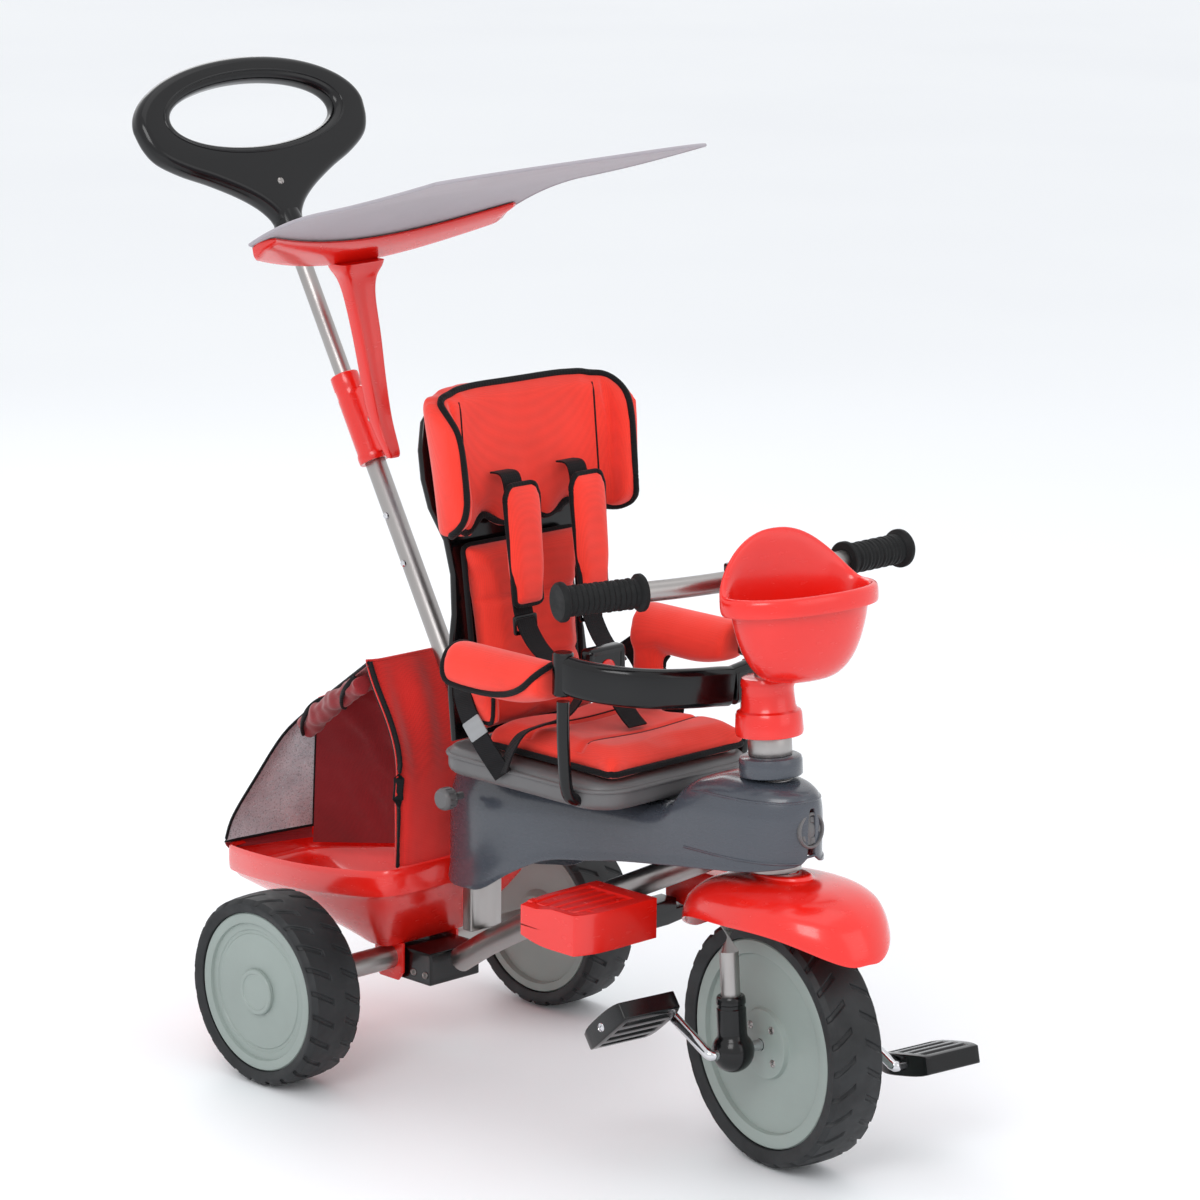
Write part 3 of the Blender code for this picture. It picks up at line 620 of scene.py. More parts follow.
def make_pedal(side, sign, place):
    """A block pedal with ribbed treads on both faces and rounded ends."""
    half, body = 0.037, f"{side}_pedal"
    pedal = divide(start_block((-half, 0.0, -0.011), (half, 0.074, 0.011)), 8)
    for vertex in pedal.data.vertices:
        share = abs(vertex.co.x) / half
        vertex.co.y = half + (vertex.co.y - half) * (1 - 0.10 * share ** 3)
        vertex.co.z *= 1 - 0.20 * share ** 4
    inset_faces(pedal, 0.0012, -0.0022, lambda centre, normal: (
        abs(normal.z) > 0.7 and abs(centre.x) < 0.034
        and int((centre.x + half) / 0.0082) % 2 == 1 and 0.008 < centre.y < 0.066))
    stand_in(bevel(pedal, 0.0022, 3, 50), f"pedal_{side}", BLACK,
             place @ Matrix.Scale(sign, 4, (0, 1, 0)), body)
    if sign < 0:
        edit(pedal, face_out)
    settle(screw_head(0.0048, 0.0024), f"pedal_bolt_{side}", CHROME,
           place @ at(0, sign * 0.0738, 0) @ turn(-sign * QUARTER, "X"), body)


# ---------------------------------------------------------------- frame

def make_axle():
    axis, reach = TRIKE @ at(0, 0, 0.1) @ TO_Y, 0.163
    tube = start_turned(mirrored([(0.0070, reach), (0.0124, reach), (0.0130, reach - 0.0008)]))
    stand_in(tube, "rear_axle_tube", STEEL, axis)
    rod = start_turned(mirrored([(0, 0.223), (0.0054, 0.223), (0.0060, 0.2224)]), 32)
    stand_in(rod, "rear_axle_rod", STEEL, axis)
    block = start_block((-0.022, -0.036, 0.078), (0.058, 0.036, 0.1135))
    inset_faces(block, 0.005, -0.002, lambda centre, normal: abs(normal.y) > 0.9)
    inset_faces(block, 0.006, -0.0015, lambda centre, normal: normal.x > 0.9 and centre.x > 0.05)
    stand_in(bevel(block, 0.0025), "axle_block", BLACK)
    heads = [moved(screw_head(0.0040, 0.0020), at(x, y * 0.0340, 0.0880) @ turn(-y * QUARTER, "X"))
             for y in (1, -1) for x in (-0.012, 0.030, 0.048)]
    settle(joined(*heads), "axle_block_screws", STEEL)


def make_spine():
    stops = [(x, 0, z) for x, z in (
        (0.0668, 0.1030), (0.085, 0.115), (0.12, 0.137), (0.20, 0.180), (0.33, 0.243),
        (0.42, 0.287), (0.478, 0.315))]
    stand_in(start_rod(flowing(stops, 30), 0.0135, sides=8), "main_tube", STEEL)
    post = start_block((0.092, -0.022, 0.1455), (0.106, 0.022, 0.2315))
    inset_faces(post, 0.006, -0.0015, lambda centre, normal: abs(normal.x) > 0.9)
    stand_in(bevel(post, 0.0018), "seat_post", STEEL)
    outline = mirrored_across([(0.0415, 0.2212), (0.0415, 0.2110), (0.0660, 0.2110),
                               (0.0660, 0.1990), (0.0300, 0.1950)])
    stand_in(start_plate([outline], 0.024, 0.0018, 3), "footrest_bracket", BLACK,
             TRIKE @ at(0.330, 0, 0) @ STANDING)


def make_body():
    """The moulded body, from the rounded tail behind the seat to the blunt nose at the head."""
    stations = [
        (0.0840, 0.010, 0.250, 0.300), (0.0855, 0.026, 0.228, 0.316),
        (0.0950, 0.042, 0.212, 0.329), (0.1120, 0.054, 0.2075, 0.337),
        (0.1400, 0.063, 0.210, 0.342), (0.1700, 0.068, 0.216, 0.342),
        (0.2150, 0.068, 0.243, 0.342), (0.2600, 0.063, 0.264, 0.342),
        (0.3100, 0.056, 0.273, 0.341), (0.3500, 0.052, 0.280, 0.341),
        (0.3850, 0.050, 0.285, 0.3415), (0.4080, 0.050, 0.288, 0.352),
        (0.4280, 0.050, 0.291, 0.374), (0.4600, 0.050, 0.295, 0.386),
        (0.4850, 0.049, 0.2985, 0.388), (0.5080, 0.0462, 0.301, 0.388),
        (0.5270, 0.0412, 0.304, 0.387), (0.5430, 0.033, 0.307, 0.384),
        (0.5530, 0.024, 0.309, 0.381), (0.5590, 0.014, 0.311, 0.377),
        (0.5610, 0.005, 0.318, 0.366)]

    def rule(u, v):
        x, half, low, high = flow(stations, v)
        sweep = math.radians(-112 + 224 * u)
        across = math.sin(sweep)
        y = half * math.copysign(min(1.0, abs(across) * 1.02) ** 0.55, across)
        share = (squarer(math.cos(sweep), 0.60) + 0.555) / 1.555
        flare = 0.004 * max(0.0, 1 - share * 9)
        return (x, y * (1 + flare / max(half, 0.02)), low + (high - low) * max(0.0, share))

    shell = stand_in(start_shell(44, 96, rule, 0.0026, -1, edge=0.0008), "body_shell", SLATE,
                     angle=50)
    nose = [(0.438, 0.0500), (0.465, 0.0500), (0.490, 0.0487), (0.512, 0.0455),
            (0.530, 0.0402), (0.545, 0.0318), (0.555, 0.0215), (0.5605, 0.0080)]
    line = flowing([(x, -y) for x, y in nose] + nose[::-1], 60)
    for height, name in ((0.3735, "upper"), (0.3125, "lower")):
        route = [(AXLE_X + p.x, p.y, height + 0.004 * (p.x - 0.438)) for p in line]
        settle(start_rod(snug(shell, route, -0.0004), 0.0014, sides=3), f"body_{name}_bead",
               SLATE, WORLD)


def make_badge():
    """A plain round badge with a raised rim and a star-shaped boss."""
    rim = start_turned([(0.0145, 0.0), (0.0150, 0.0026), (0.0166, 0.0030), (0.0178, 0.0022),
                        (0.0180, 0.0), (0.0160, -0.004)])
    boss = start_turned([(0, 0.0018), (0.0060, 0.0016), (0.0075, 0.0006), (0.0142, 0.0004),
                         (0.0146, -0.003), (0, -0.003)], 20)
    inset_faces(boss, 0.0008, 0.0009, lambda centre, normal: (
        0.0078 < math.hypot(centre.x, centre.y) < 0.0142 and normal.z > 0.5
        and int(math.degrees(math.atan2(centre.y, centre.x)) % 360 / 18) % 4 < 2))
    settle(joined(rim, boss), "head_badge", GREY,
           TRIKE @ at(0.5586, 0, 0.3440) @ turn(math.radians(86), "Y"))


def make_head():
    inner = 0.0135
    tube = start_turned([(inner, 0.262), (0.0205, 0.262), (0.021, 0.2615), (0.021, 0.182),
                         (0.0255, 0.180), (0.026, 0.178), (0.026, 0.1715), (0.0252, 0.1705),
                         (inner, 0.1705)])
    stand_in(tube, "head_tube", STEEL, HEAD)
    ring = start_turned([(inner, 0.285), (0.0275, 0.285), (0.0300, 0.2835), (0.0310, 0.2800),
                         (0.0310, 0.2665), (0.0303, 0.2655), (inner, 0.2655)])
    stand_in(ring, "neck_ring", SLATE, HEAD)
    socket = start_turned([(0, -0.072), (0.0114, -0.072), (0.0114, 0.029), (0.0125, 0.030),
                           (0.0152, 0.030), (0.0160, 0.0288), (0.0160, 0.0180), (0.0150, 0.0160),
                           (0.0160, 0.0120), (0.0160, -0.0785), (0.0145, -0.080), (0, -0.080)], 40)
    stand_in(socket, "push_bar_socket", BLACK, BAR_AXIS)
    dial = start_turned([(0, 0.030), (0.0085, 0.030), (0.0105, 0.0285), (0.0118, 0.0255),
                         (0.0118, 0.0175), (0.0105, 0.0145), (0.0050, 0.0130), (0.0040, 0.0100),
                         (0.0040, 0), (0, 0)], 36)
    inset_faces(dial, 0.0003, -0.0009, lambda centre, normal: (
        0.017 < centre.z < 0.026 and abs(normal.z) < 0.3
        and int(math.degrees(math.atan2(centre.y, centre.x)) % 360 / 10) % 3 == 0))
    stand_in(bevel(dial, 0.0004, 2), "seat_knob", GREY,
             TRIKE @ at(0.148, -0.0755, 0.312) @ turn(QUARTER, "X"), "knob")


def make_footrests():
    """Wide folding footrests: a rounded tray with a sunk ribbed top and a rolled front edge."""
    for side, sign in SIDES:
        rest = divide(start_block((-0.012, -0.0070, -0.0195), (0.072, 0.0985, 0.0215)), 11)
        for vertex in rest.data.vertices:
            along = (vertex.co.x - 0.030) / 0.042
            out = max(0.0, (vertex.co.y - 0.0457) / 0.0527)
            if vertex.co.z < 0:
                vertex.co.z *= 1 - 0.35 * max(0.0, -along) ** 2
            vertex.co.x -= 0.010 * max(0.0, along) * out ** 3
            if vertex.co.z > 0:
                vertex.co.z -= 0.0040 * out ** 3 * clamped((0.030 - vertex.co.x) / 0.020)
        inset_faces(rest, 0.0030, -0.0022, lambda centre, normal: (
            normal.z > 0.7 and 0.010 < centre.y < 0.088 and -0.004 < centre.x < 0.060))
        inset_faces(rest, 0.0006, 0.0012, lambda centre, normal: (
            normal.z > 0.7 and centre.z < 0.0200 and 0.012 < centre.y < 0.086
            and int(centre.x / 0.007 + 8) % 2 == 0))
        stand_in(bevel(rest, 0.0075, 4, 60), f"footrest_{side}", RED,
                 TRIKE @ at(0.330, sign * 0.0565, 0.231) @ Matrix.Scale(sign, 4, (0, 1, 0)),
                 f"{side}_footrest")
        if sign < 0:
            edit(rest, face_out)


# ---------------------------------------------------------------- steering

def make_fork():
    leg, ball, body = 0.060, 0.021, "steering"
    arch = [(0, y, z) for y, z in arc((leg, 0.024), 0, 180, 25, (0, 0.128))]
    route = [(0, leg, 0.056), (0, leg, 0.10), *arch, (0, -leg, 0.10), (0, -leg, 0.056)]
    stand_in(start_rod(route, 0.0095, sides=8), "fork", STEEL, STEERED, body)
    for side, sign in SIDES:
        dome = [(ball * math.cos(a), ball * math.sin(a))
                for a in (math.radians(44 - 9.5 * k) for k in range(14))]
        end = start_turned([(0, 0.0560), (0.0128, 0.0560), (0.0138, 0.0548), (0.0145, 0.0520),
                            (0.0145, 0.0480), (0.0136, 0.0470), (0.0136, 0.0440),
                            (0.0145, 0.0430), (0.0145, 0.0185), *dome, (0, -ball)])
        stand_in(end, f"fork_end_{side}", BLACK, STEERED @ at(0, sign * leg, 0), body)
    shaft = start_turned([(0, 0.4322), (0.0118, 0.4322), (0.0127, 0.4312), (0.0127, 0.1640),
                          (0, 0.1640)], 40)
    stand_in(shaft, "steering_shaft", STEEL, STEERED, body)


def make_mudguard():
    """A domed guard, its ends drooping over the tyre, with a rolled lip and a crown step."""
    levels = [(1.0, 0.0), (0.995, 0.006), (0.965, 0.019), (0.90, 0.032), (0.76, 0.044),
              (0.58, 0.0515), (0.42, 0.0545), (0.30, 0.0560), (0.27, 0.0600), (0.16, 0.0605)]

    def rule(u, v):
        scale, drop = flow(levels, v)
        a = 2 * math.pi * u
        fade = max(0.0, 1 - drop / 0.056)
        y = scale * 0.078 * math.sin(a)
        sag = 0.034 * abs(math.cos(a)) ** 3 * fade
        ridge = 0.003 * math.exp(-(y / 0.012) ** 2) * fade
        return (0.012 + scale * 0.128 * squarer(math.cos(a), 0.92), y,
                0.1105 + drop + 0.020 * fade - sag + ridge)

    stand_in(start_shell(96, 36, rule, 0.0026, -1, True, 0.0008), "front_mudguard", RED, STEERED,
             "steering", angle=50)


def make_column():
    inner = 0.0130
    ring = start_turned([(inner, 0.3045), (0.0212, 0.3045), (0.0215, 0.3040), (0.0215, 0.2858),
                         (0.0212, 0.2853), (inner, 0.2853)])
    stand_in(ring, "column_ring", STEEL, STEERED, "steering")
    bell = start_turned([
        (inner, 0.3630), (0.0215, 0.3630), (0.0248, 0.3616), (0.0262, 0.3585), (0.0264, 0.3540),
        (0.0254, 0.3515), (0.0256, 0.3450), (0.0266, 0.3340), (0.0282, 0.3305), (0.0312, 0.3288),
        (0.0324, 0.3262), (0.0335, 0.3090), (0.0325, 0.3055), (0.0312, 0.3048),
        (inner, 0.3048)], 56)
    stand_in(bell, "column_bell", RED, STEERED, "steering")


def make_basket():
    """A deep scoop, flat behind and round in front, with a rolled rim that rises to the back."""
    levels = [(0.02, 0.3660), (0.28, 0.3663), (0.47, 0.3705), (0.63, 0.3815), (0.745, 0.3970),
              (0.825, 0.4150), (0.875, 0.4330), (0.905, 0.4460), (0.930, 0.4510), (0.965, 0.4530),
              (1.0, 0.4515), (1.014, 0.4475), (1.014, 0.4390), (1.006, 0.4365)]

    def rule(u, v):
        scale, z = flow(levels, v)
        lift = 0.055 * clamped((z - 0.405) / 0.040) ** 1.4
        c, s = math.cos(2 * math.pi * u), math.sin(2 * math.pi * u)
        x = scale * (0.054 * c if c > 0 else 0.035 * squarer(c, 0.75))
        return (0.053 + x, scale * 0.084 * squarer(s, 0.88), z + lift * max(0.0, -c) ** 1.9)

    stand_in(start_shell(96, 44, rule, 0.0022, 0, True, 0.0007), "front_basket", RED, STEERED,
             "steering", angle=50)


def make_handlebar():
    height, body = 0.457, "steering"
    half = [(-0.018, 0.0), (-0.018, 0.045), (-0.022, 0.085), (-0.030, 0.122), (-0.045, 0.204)]
    stops = [(x, -y, height) for x, y in reversed(half[1:])] + [(x, y, height) for x, y in half]
    stand_in(start_rod(flowing(stops, 41), 0.0100, sides=7), "handlebar", STEEL, STEERED, body)
    clamp = start_block((-0.034, -0.024, 0.4326), (0.0135, 0.024, 0.4740))
    inset_faces(clamp, 0.006, -0.002, lambda centre, normal: normal.z > 0.9)
    stand_in(bevel(clamp, 0.0045, 4), "handlebar_clamp", BLACK, STEERED, body)
    heads = [moved(screw_head(0.0045, 0.0026), at(-0.0205, y, 0.4718)) for y in (-0.013, 0.013)]
    settle(joined(*heads), "handlebar_clamp_bolts", STEEL, STEERED, body)
    sweep = math.atan2(0.015, 0.082)
    for side, sign in SIDES:
        ribs = []
        for k in range(12):
            z, crest = 0.012 + k * 0.0056, 0.0150 if k % 2 else 0.0154
            ribs += [(0.0139, z), (crest, z + 0.0016), (crest, z + 0.0034)]
        grip = start_turned([(0.0104, 0), (0.0175, 0), (0.0185, 0.0012), (0.0185, 0.0048),
                             (0.0170, 0.0064), (0.0145, 0.0080), *ribs, (0.0145, 0.0800),
                             (0.0190, 0.0830), (0.0195, 0.0845), (0.0193, 0.0875),
                             (0.0175, 0.0898), (0.0060, 0.0900), (0, 0.0893), (0, 0.0845),
                             (0.0104, 0.0845)])
        stand_in(grip, f"grip_{side}", GRIP, STEERED @ at(-0.030, sign * 0.1225, height) @ (
            turn(sign * sweep, "Z") @ turn(-sign * QUARTER, "X")), body)


# ---------------------------------------------------------------- rear bucket and bag

def start_rings(rings):
    """A closed-round surface through rings of equal point counts."""
    across, along = len(rings[0]), len(rings) - 1
    return start_patch(across, along, lambda u, v: rings[round(v * along)][
        round(u * across) % across], closed=True)


def make_bucket():
    half = [(-0.246, 0.0), (-0.245, 0.040), (-0.238, 0.060), (-0.218, 0.072), (-0.150, 0.094),
            (-0.060, 0.114), (0.020, 0.118), (0.062, 0.112), (0.076, 0.090), (0.078, 0.045),
            (0.078, 0.0)]
    outline = flowing(half + [(x, -y) for x, y in reversed(half[1:-1])], 108, closed=True)
    floor_z, middle = 0.1165, -0.05

    def level(scale_y, scale_x, lift):
        return [(middle + scale_x * (p.x - middle), scale_y * p.y,
                 max(0.178 + 0.136 * (p.x + 0.245) + lift, 0.0)) for p in outline]

    def floor(share):
        return [(share * p.x * 0.24 - 0.004, share * p.y * 0.50, floor_z) for p in outline]

    shoulder = level(0.925, 0.935, -0.034)
    sides = []
    for k in range(1, 14):
        share = k / 14
        swell = 1 + 0.05 * math.sin(math.pi * share)
        sides.append([((a[0] + (b[0] - a[0]) * share) * swell, (a[1] + (b[1] - a[1]) * share)
                       * swell, a[2] + (b[2] - a[2]) * share)
                      for a, b in zip(floor(1.0), shoulder)])
    rim = [level(*shape) for shape in (
        (0.955, 0.962, -0.030), (0.968, 0.973, -0.0285), (0.992, 0.993, -0.0282),
        (1.0, 1.0, -0.0262), (1.004, 1.004, -0.018), (1.004, 1.004, -0.008),
        (1.0, 1.0, -0.0016), (0.990, 0.991, 0.0), (0.976, 0.979, -0.0008),
        (0.970, 0.973, -0.004))]
    shell = start_rings([floor(0.05), floor(0.55), floor(0.93), floor(1.0), *sides, shoulder, *rim])
    stand_in(thicken(shell, 0.0024, -1), "rear_bucket", RED, angle=38)
    for side, sign in SIDES:
        tab = start_plate([[(-0.024, 0.118), (-0.024, 0.086), (-0.016, 0.076), (0.012, 0.076),
                            (0.020, 0.086), (0.020, 0.118)]], 0.0040, 0.0012, 3)
        settle(tab, f"bucket_tab_{side}", RED, TRIKE @ at(0, sign * 0.0386, 0) @ turn(QUARTER, "X"))


def rumple(point, height, waves):
    """How far cloth stands off its rule, as a few crossing soft folds."""
    total = 0.0
    for x, y, z, phase in waves:
        total += math.sin(x * point[0] + y * point[1] + z * point[2] + phase)
    return height * total / len(waves)


def make_bag():
    wall = [(0.022, 0.430), (0.034, 0.408), (0.054, 0.370), (0.067, 0.330), (0.070, 0.285),
            (0.071, 0.2220)]
    tail_top = (-0.160, 0.001, 0.340)

    def front(u, v):
        x, z = flow(wall, v)
        y = (-0.092 + 0.188 * u) * (0.96 + 0.04 * v)
        curl = max(0.0, abs(2 * u - 1) - 0.80) / 0.20
        folds = rumple((y, z, 0), 0.0062, ((95, 12, 0, 0.4), (150, -18, 0, 1.9), (48, 34, 0, 0.8)))
        return Vector((x - 0.006 * curl ** 2 + folds * math.sin(math.pi * min(1, v * 1.3)), y, z))

    def side(u, v):
        right = Vector((0.020, -0.0880, 0.430)).lerp(Vector((-0.160, -0.001, 0.340)), v)
        shoulder = Vector((0.020, 0.0960, 0.428)).lerp(Vector(tail_top), v)
        rim = Vector((0.066, 0.1010, 0.2120)).lerp(Vector((-0.224, 0.0500, 0.1660)), v)
        middle = (right + shoulder) / 2 - Vector((0, 0, 0.008 * math.sin(math.pi * v)))
        flank = (shoulder + rim) / 2 + Vector((0.006 * (1 - v), 0.010 * math.sin(math.pi * v), 0))
        point = flow([right, middle, shoulder, flank, rim], u)
        folds = rumple(point, 0.0030, ((60, 40, 90, 0.0), (120, 10, -70, 1.1), (30, 80, 150, 2.0)))
        ease = math.sin(math.pi * u) * math.sin(math.pi * min(1.0, v + 0.08))
        return point + Vector((0, folds * ease, folds * ease))

    def inner(u, v):
        point = side(u, v)
        creases = rumple(point, 0.0090, ((150, 30, 40, 0.6), (60, 60, 170, 2.2),
                                         (210, -20, 90, 1.0)))
        ease = math.sin(math.pi * u) * math.sin(math.pi * min(1.0, v + 0.06))
        return point + Vector((0.0010, -0.0026, -0.0030)) - Vector(
            (0, 1, 0.3)) * max(0.0, creases + 0.003) * ease

    panel = settle(start_shell(72, 56, front, 0.0022), "bag_front_panel", BAG_CLOTH,
                   nodes=["bag_hood"], angle=60)
    roof = settle(start_shell(80, 60, side, 0.0020), "bag_roof", BAG_CLOTH, angle=60)
    # The inside sheet is coloured with the darkened cloth, which paints the shade inside the bag.
    lining = settle(start_shell(60, 44, inner, 0.0010), "bag_lining_painted_shade", BAG_CLOTH_PAINTED_SHADE, angle=60)

    right_edge = [(-0.161, -0.002, 0.339), (-0.188, -0.024, 0.305), (-0.216, -0.042, 0.252),
                  (-0.237, -0.056, 0.208), (-0.243, -0.062, 0.1800)]
    left_edge = [side(share, 1.0) + Vector((-0.0022, -0.0006, 0))
                 for share in (0.51, 0.62, 0.74, 0.84, 0.93)]

    def rear(u, v):
        v = 0.03 + 0.97 * v
        point = flow(right_edge, v).lerp(flow(left_edge, v), u)
        return point + Vector((-0.009, 0, 0)) * math.sin(math.pi * u) * math.sin(math.pi * v)

    def strip(u, v):
        foot = Vector((-0.242, -0.058, 0.172)).lerp(Vector((-0.2262, 0.0500, 0.1675)), u)
        return foot.lerp(rear(u, 1.0), v) + Vector((-0.003 * math.sin(math.pi * v), 0, 0))

    def trim(name, points, radius, material=PIPING, flat=0.0):
        return settle(start_rod(points, radius, sides=2, flat=flat), name, material)

    screen = stand_in(start_shell(30, 44, rear, 0.0009), "bag_mesh", NET, angle=60)
    cord = trim("bag_mesh_cord", [*flowing(right_edge, 24), *[rear(k / 11, 1.0)
                                                              for k in range(1, 12)]], 0.0017)
    # The tail strip takes the same darkened cloth, painted shade.
    tail = settle(start_shell(20, 8, strip, 0.0012), "bag_tail_strip", BAG_CLOTH_PAINTED_SHADE, angle=60)
    seam = trim("bag_mesh_seam", [rear(1.0, k / 23) for k in range(24)], 0.0016)

    roll_line = [(0.006, -0.082, 0.404), (-0.030, -0.072, 0.387), (-0.070, -0.058, 0.366),
                 (-0.112, -0.040, 0.343), (-0.150, -0.022, 0.322)]
    roll = start_rod(flowing(roll_line, 40), 0.0115, sides=9)
    for vertex in roll.data.vertices:
        p = vertex.co
        share = clamped((0.006 - p.x) / 0.156)
        centre = flow(roll_line, share)
        swell = 0.82 + 0.30 * share + 0.16 * math.sin(19 * share + 2.4 * math.atan2(
            p.z - centre.z, p.y - centre.y)) + 0.07 * math.sin(53 * share)
        vertex.co = centre + (p - centre) * swell
    # The rolled flap takes the same darkened cloth, painted shade.
    stand_in(subdivide(roll), "bag_side_flap", BAG_CLOTH_PAINTED_SHADE, angle=60)
    spiral = []
    for k in range(120):
        share = k / 119
        a = 2 * math.pi * 1.3 * share + 2.2
        reach = 0.0122 * (0.86 + 0.30 * share)
        spiral.append(flow(roll_line, 0.06 + 0.88 * share) + Vector(
            (0.35 * math.cos(a), 0.94 * math.cos(a), math.sin(a))) * reach)
    trim("bag_flap_zip", spiral, 0.0019, flat=0.0012)

    steps = [k / 30 for k in range(31)]
    zipper = trim("bag_front_zip", [front(0.012, v) + Vector((0.0012, -0.0004, 0)) for v in steps],
                  0.0014, flat=0.0045)
    ridge = trim("bag_front_seam", [front(u, 0.0) + Vector((0, 0, 0.0012)) for u in steps], 0.0018,
                 BAG_CLOTH)
    hem = trim("bag_roof_hem", [side(0.0, v) for v in steps], 0.0018)


# ---------------------------------------------------------------- seat

def rounded_box(half_x, half_y, front, rear, count=10):
    """A plan outline with its own corner radius in front and behind."""
    outline = []
    for (sx, sy), radius, first in (((1, 1), front, 0), ((-1, 1), rear, 90),
                                    ((-1, -1), rear, 180), ((1, -1), front, 270)):
        centre = (sx * (half_x - radius), sy * (half_y - radius))
        outline += arc((radius, radius), first, first + 90, count, centre)
    return outline


def rounded_outline(half, low, high, radius, count=8):
    """An upright outline of (y, z) with round corners."""
    centre, tall = (low + high) / 2, (high - low) / 2
    return [(y, z + centre) for z, y in rounded_box(tall, half, radius, radius, count)]


def make_seat_base():
    base = start_plate([rounded_box(0.121, 0.112, 0.040, 0.034)], 0.0285, 0.0100, 6)
    stand_in(base, "seat_base", GREY, TRIKE @ at(0.267, 0, 0.35775))
    lip = [(x, y, 0) for x, y in rounded_box(0.1213, 0.1123, 0.0403, 0.0343, 12)]
    settle(start_rod(lip, 0.0022, True, 3), "seat_base_bead", GREY, TRIKE @ at(0.267, 0, 0.3640))
    for side, sign in SIDES:
        stops = [(0.3505, sign * y, z) for y, z in (
            (0.104, 0.353), (0.118, 0.356), (0.126, 0.372), (0.1300, 0.415), (0.1310, 0.456))]
        settle(start_rod(flowing(stops, 22), 0.0065, sides=4), f"ring_bracket_{side}", BLACK)


def make_cushion():
    pad = start_block((0.199, -0.1005, 0.3755), (0.389, 0.1005, 0.3965))
    channels = ((0.258, "rear"), (0.330, "front"))

    def rest_on_base(obj):
        for vertex in obj.data.vertices:
            vertex.co.z = min(max(vertex.co.z, 0.3726), 0.4065)
            dip = math.exp(-((vertex.co.x - 0.290) / 0.065) ** 2 - (vertex.co.y / 0.065) ** 2)
            vertex.co.z -= 0.0045 * dip * max(0.0, (vertex.co.z - 0.39) / 0.01)

    plump(bevel(pad, 0.008, 2), 0.0052, 0.009, 4.0, rest_on_base)
    for vertex in pad.data.vertices:
        for line, _ in channels:
            near = math.exp(-((vertex.co.x - line) / 0.0040) ** 2)
            if vertex.co.z > 0.385 and abs(vertex.co.y) < 0.088:
                vertex.co.z -= 0.0035 * near
    stuffed(pad, "seat_cushion", TRIKE)
    edge = [(AXLE_X + 0.294 + x, y, 0.3770) for x, y in rounded_box(0.098, 0.104, 0.02, 0.02)]
    pipe("seat_cushion_piping", pad, edge, 0.0032, lift=0.0006)
    for line, name in channels:
        across = [(AXLE_X + line, -0.085 + 0.17 * k / 20, 0.41) for k in range(21)]
        pipe(f"seat_cushion_{name}_stitch", pad, across, 0.0009, False, -0.0001, "red_fabric")


def make_back():
    outline = mirrored_across([
        (-0.098, 0.002), (-0.098, 0.050), (-0.095, 0.090), (-0.086, 0.130), (-0.084, 0.170),
        (-0.090, 0.205), (-0.108, 0.240), (-0.115, 0.270), (-0.116, 0.300), (-0.110, 0.328),
        (-0.094, 0.346), (-0.072, 0.355), (-0.040, 0.3595)])
    stand_in(start_plate([outline], 0.008, 0.0035, 3), "seat_back_shell", BLACK, BACK @ STANDING)

    pad = divide(start_block((0.0065, -0.081, 0.005), (0.026, 0.081, 0.207)), 10)
    for vertex in pad.data.vertices:
        up = (vertex.co.z - 0.005) / 0.202
        vertex.co.y *= 1.0 - 0.10 * math.sin(math.pi * min(1.0, up * 1.1))

    def keep_off_shell(obj):
        for vertex in obj.data.vertices:
            vertex.co.x = max(vertex.co.x, 0.0046)

    plump(bevel(pad, 0.008, 2, 60), 0.0052, 0.008, 4.0, keep_off_shell)
    for vertex in pad.data.vertices:
        for line in (0.075, 0.142):
            if vertex.co.x > 0.016:
                vertex.co.x -= 0.0035 * math.exp(-((vertex.co.z - line) / 0.0042) ** 2)
    stuffed(pad, "back_pad", BACK)
    route = []
    for y, z in rounded_outline(0.078, 0.004, 0.207, 0.020):
        up = (z - 0.005) / 0.202
        route.append(BACK @ Vector((0.015, y * (1.06 - 0.10 * math.sin(math.pi * up)), z)))
    pipe("back_pad_piping", pad, route, 0.0030, lift=0.0006)


def make_headrest():
    """The hooded head pad: its wings come forward round the head and taper to round tips."""
    half = [(0.070, -0.119), (0.050, -0.124), (0.032, -0.118), (0.024, -0.098), (0.019, -0.060)]
    line = half + [(0.017, 0.0)] + [(x, -y) for x, y in reversed(half)]
    top_round, foot_round = (0.095, 0.062), (0.040, 0.034)
    wing, wing_start = 0.050, 0.110

    def dropped(round_off, from_tip):
        reach, depth = round_off
        return depth * (1 - math.sqrt(1 - (max(0.0, reach - from_tip) / reach) ** 2))

    def rule(u, v):
        x, y = flow(line, u)
        if abs(y) < wing_start:
            from_tip = wing + wing_start - abs(y)
        else:
            from_tip = wing * clamped((0.070 - x) / 0.040)
        scallop = 0.010 * math.cos(2 * math.pi * y / 0.062) * (abs(y) < 0.093)
        low = 0.216 + scallop + dropped(foot_round, from_tip)
        high = 0.368 - dropped(top_round, from_tip)
        return (x, y, low + (high - low) * v)

    def keep_off_shell(obj):
        for vertex in obj.data.vertices:
            if abs(vertex.co.y) < 0.100:
                vertex.co.x = max(vertex.co.x, 0.0046)
            vertex.co.y = clamped(vertex.co.y, -0.1360, 0.1360)

    pad = bevel(thicken(start_patch(60, 30, rule), 0.020), 0.006, 2, 50)
    plump(pad, 0.0052, 0.007, 4.0, keep_off_shell)
    stuffed(pad, "headrest", BACK)
    top = [rule(k / 30, 0.97) for k in range(31)]
    bottom = [rule(k / 30, 0.03) for k in range(30, -1, -1)]
    route = [BACK @ (Vector(p) + Vector((0.009, 0, 0))) for p in top + bottom]
    pipe("headrest_piping", pad, route, 0.0036, lift=0.0006)
    for side, sign in SIDES:
        seam = [BACK @ Vector((0.036, sign * 0.094, 0.240 + 0.105 * k / 16)) for k in range(17)]
        pipe(f"headrest_seam_{side}", pad, seam, 0.0010, False, slot="red_fabric")


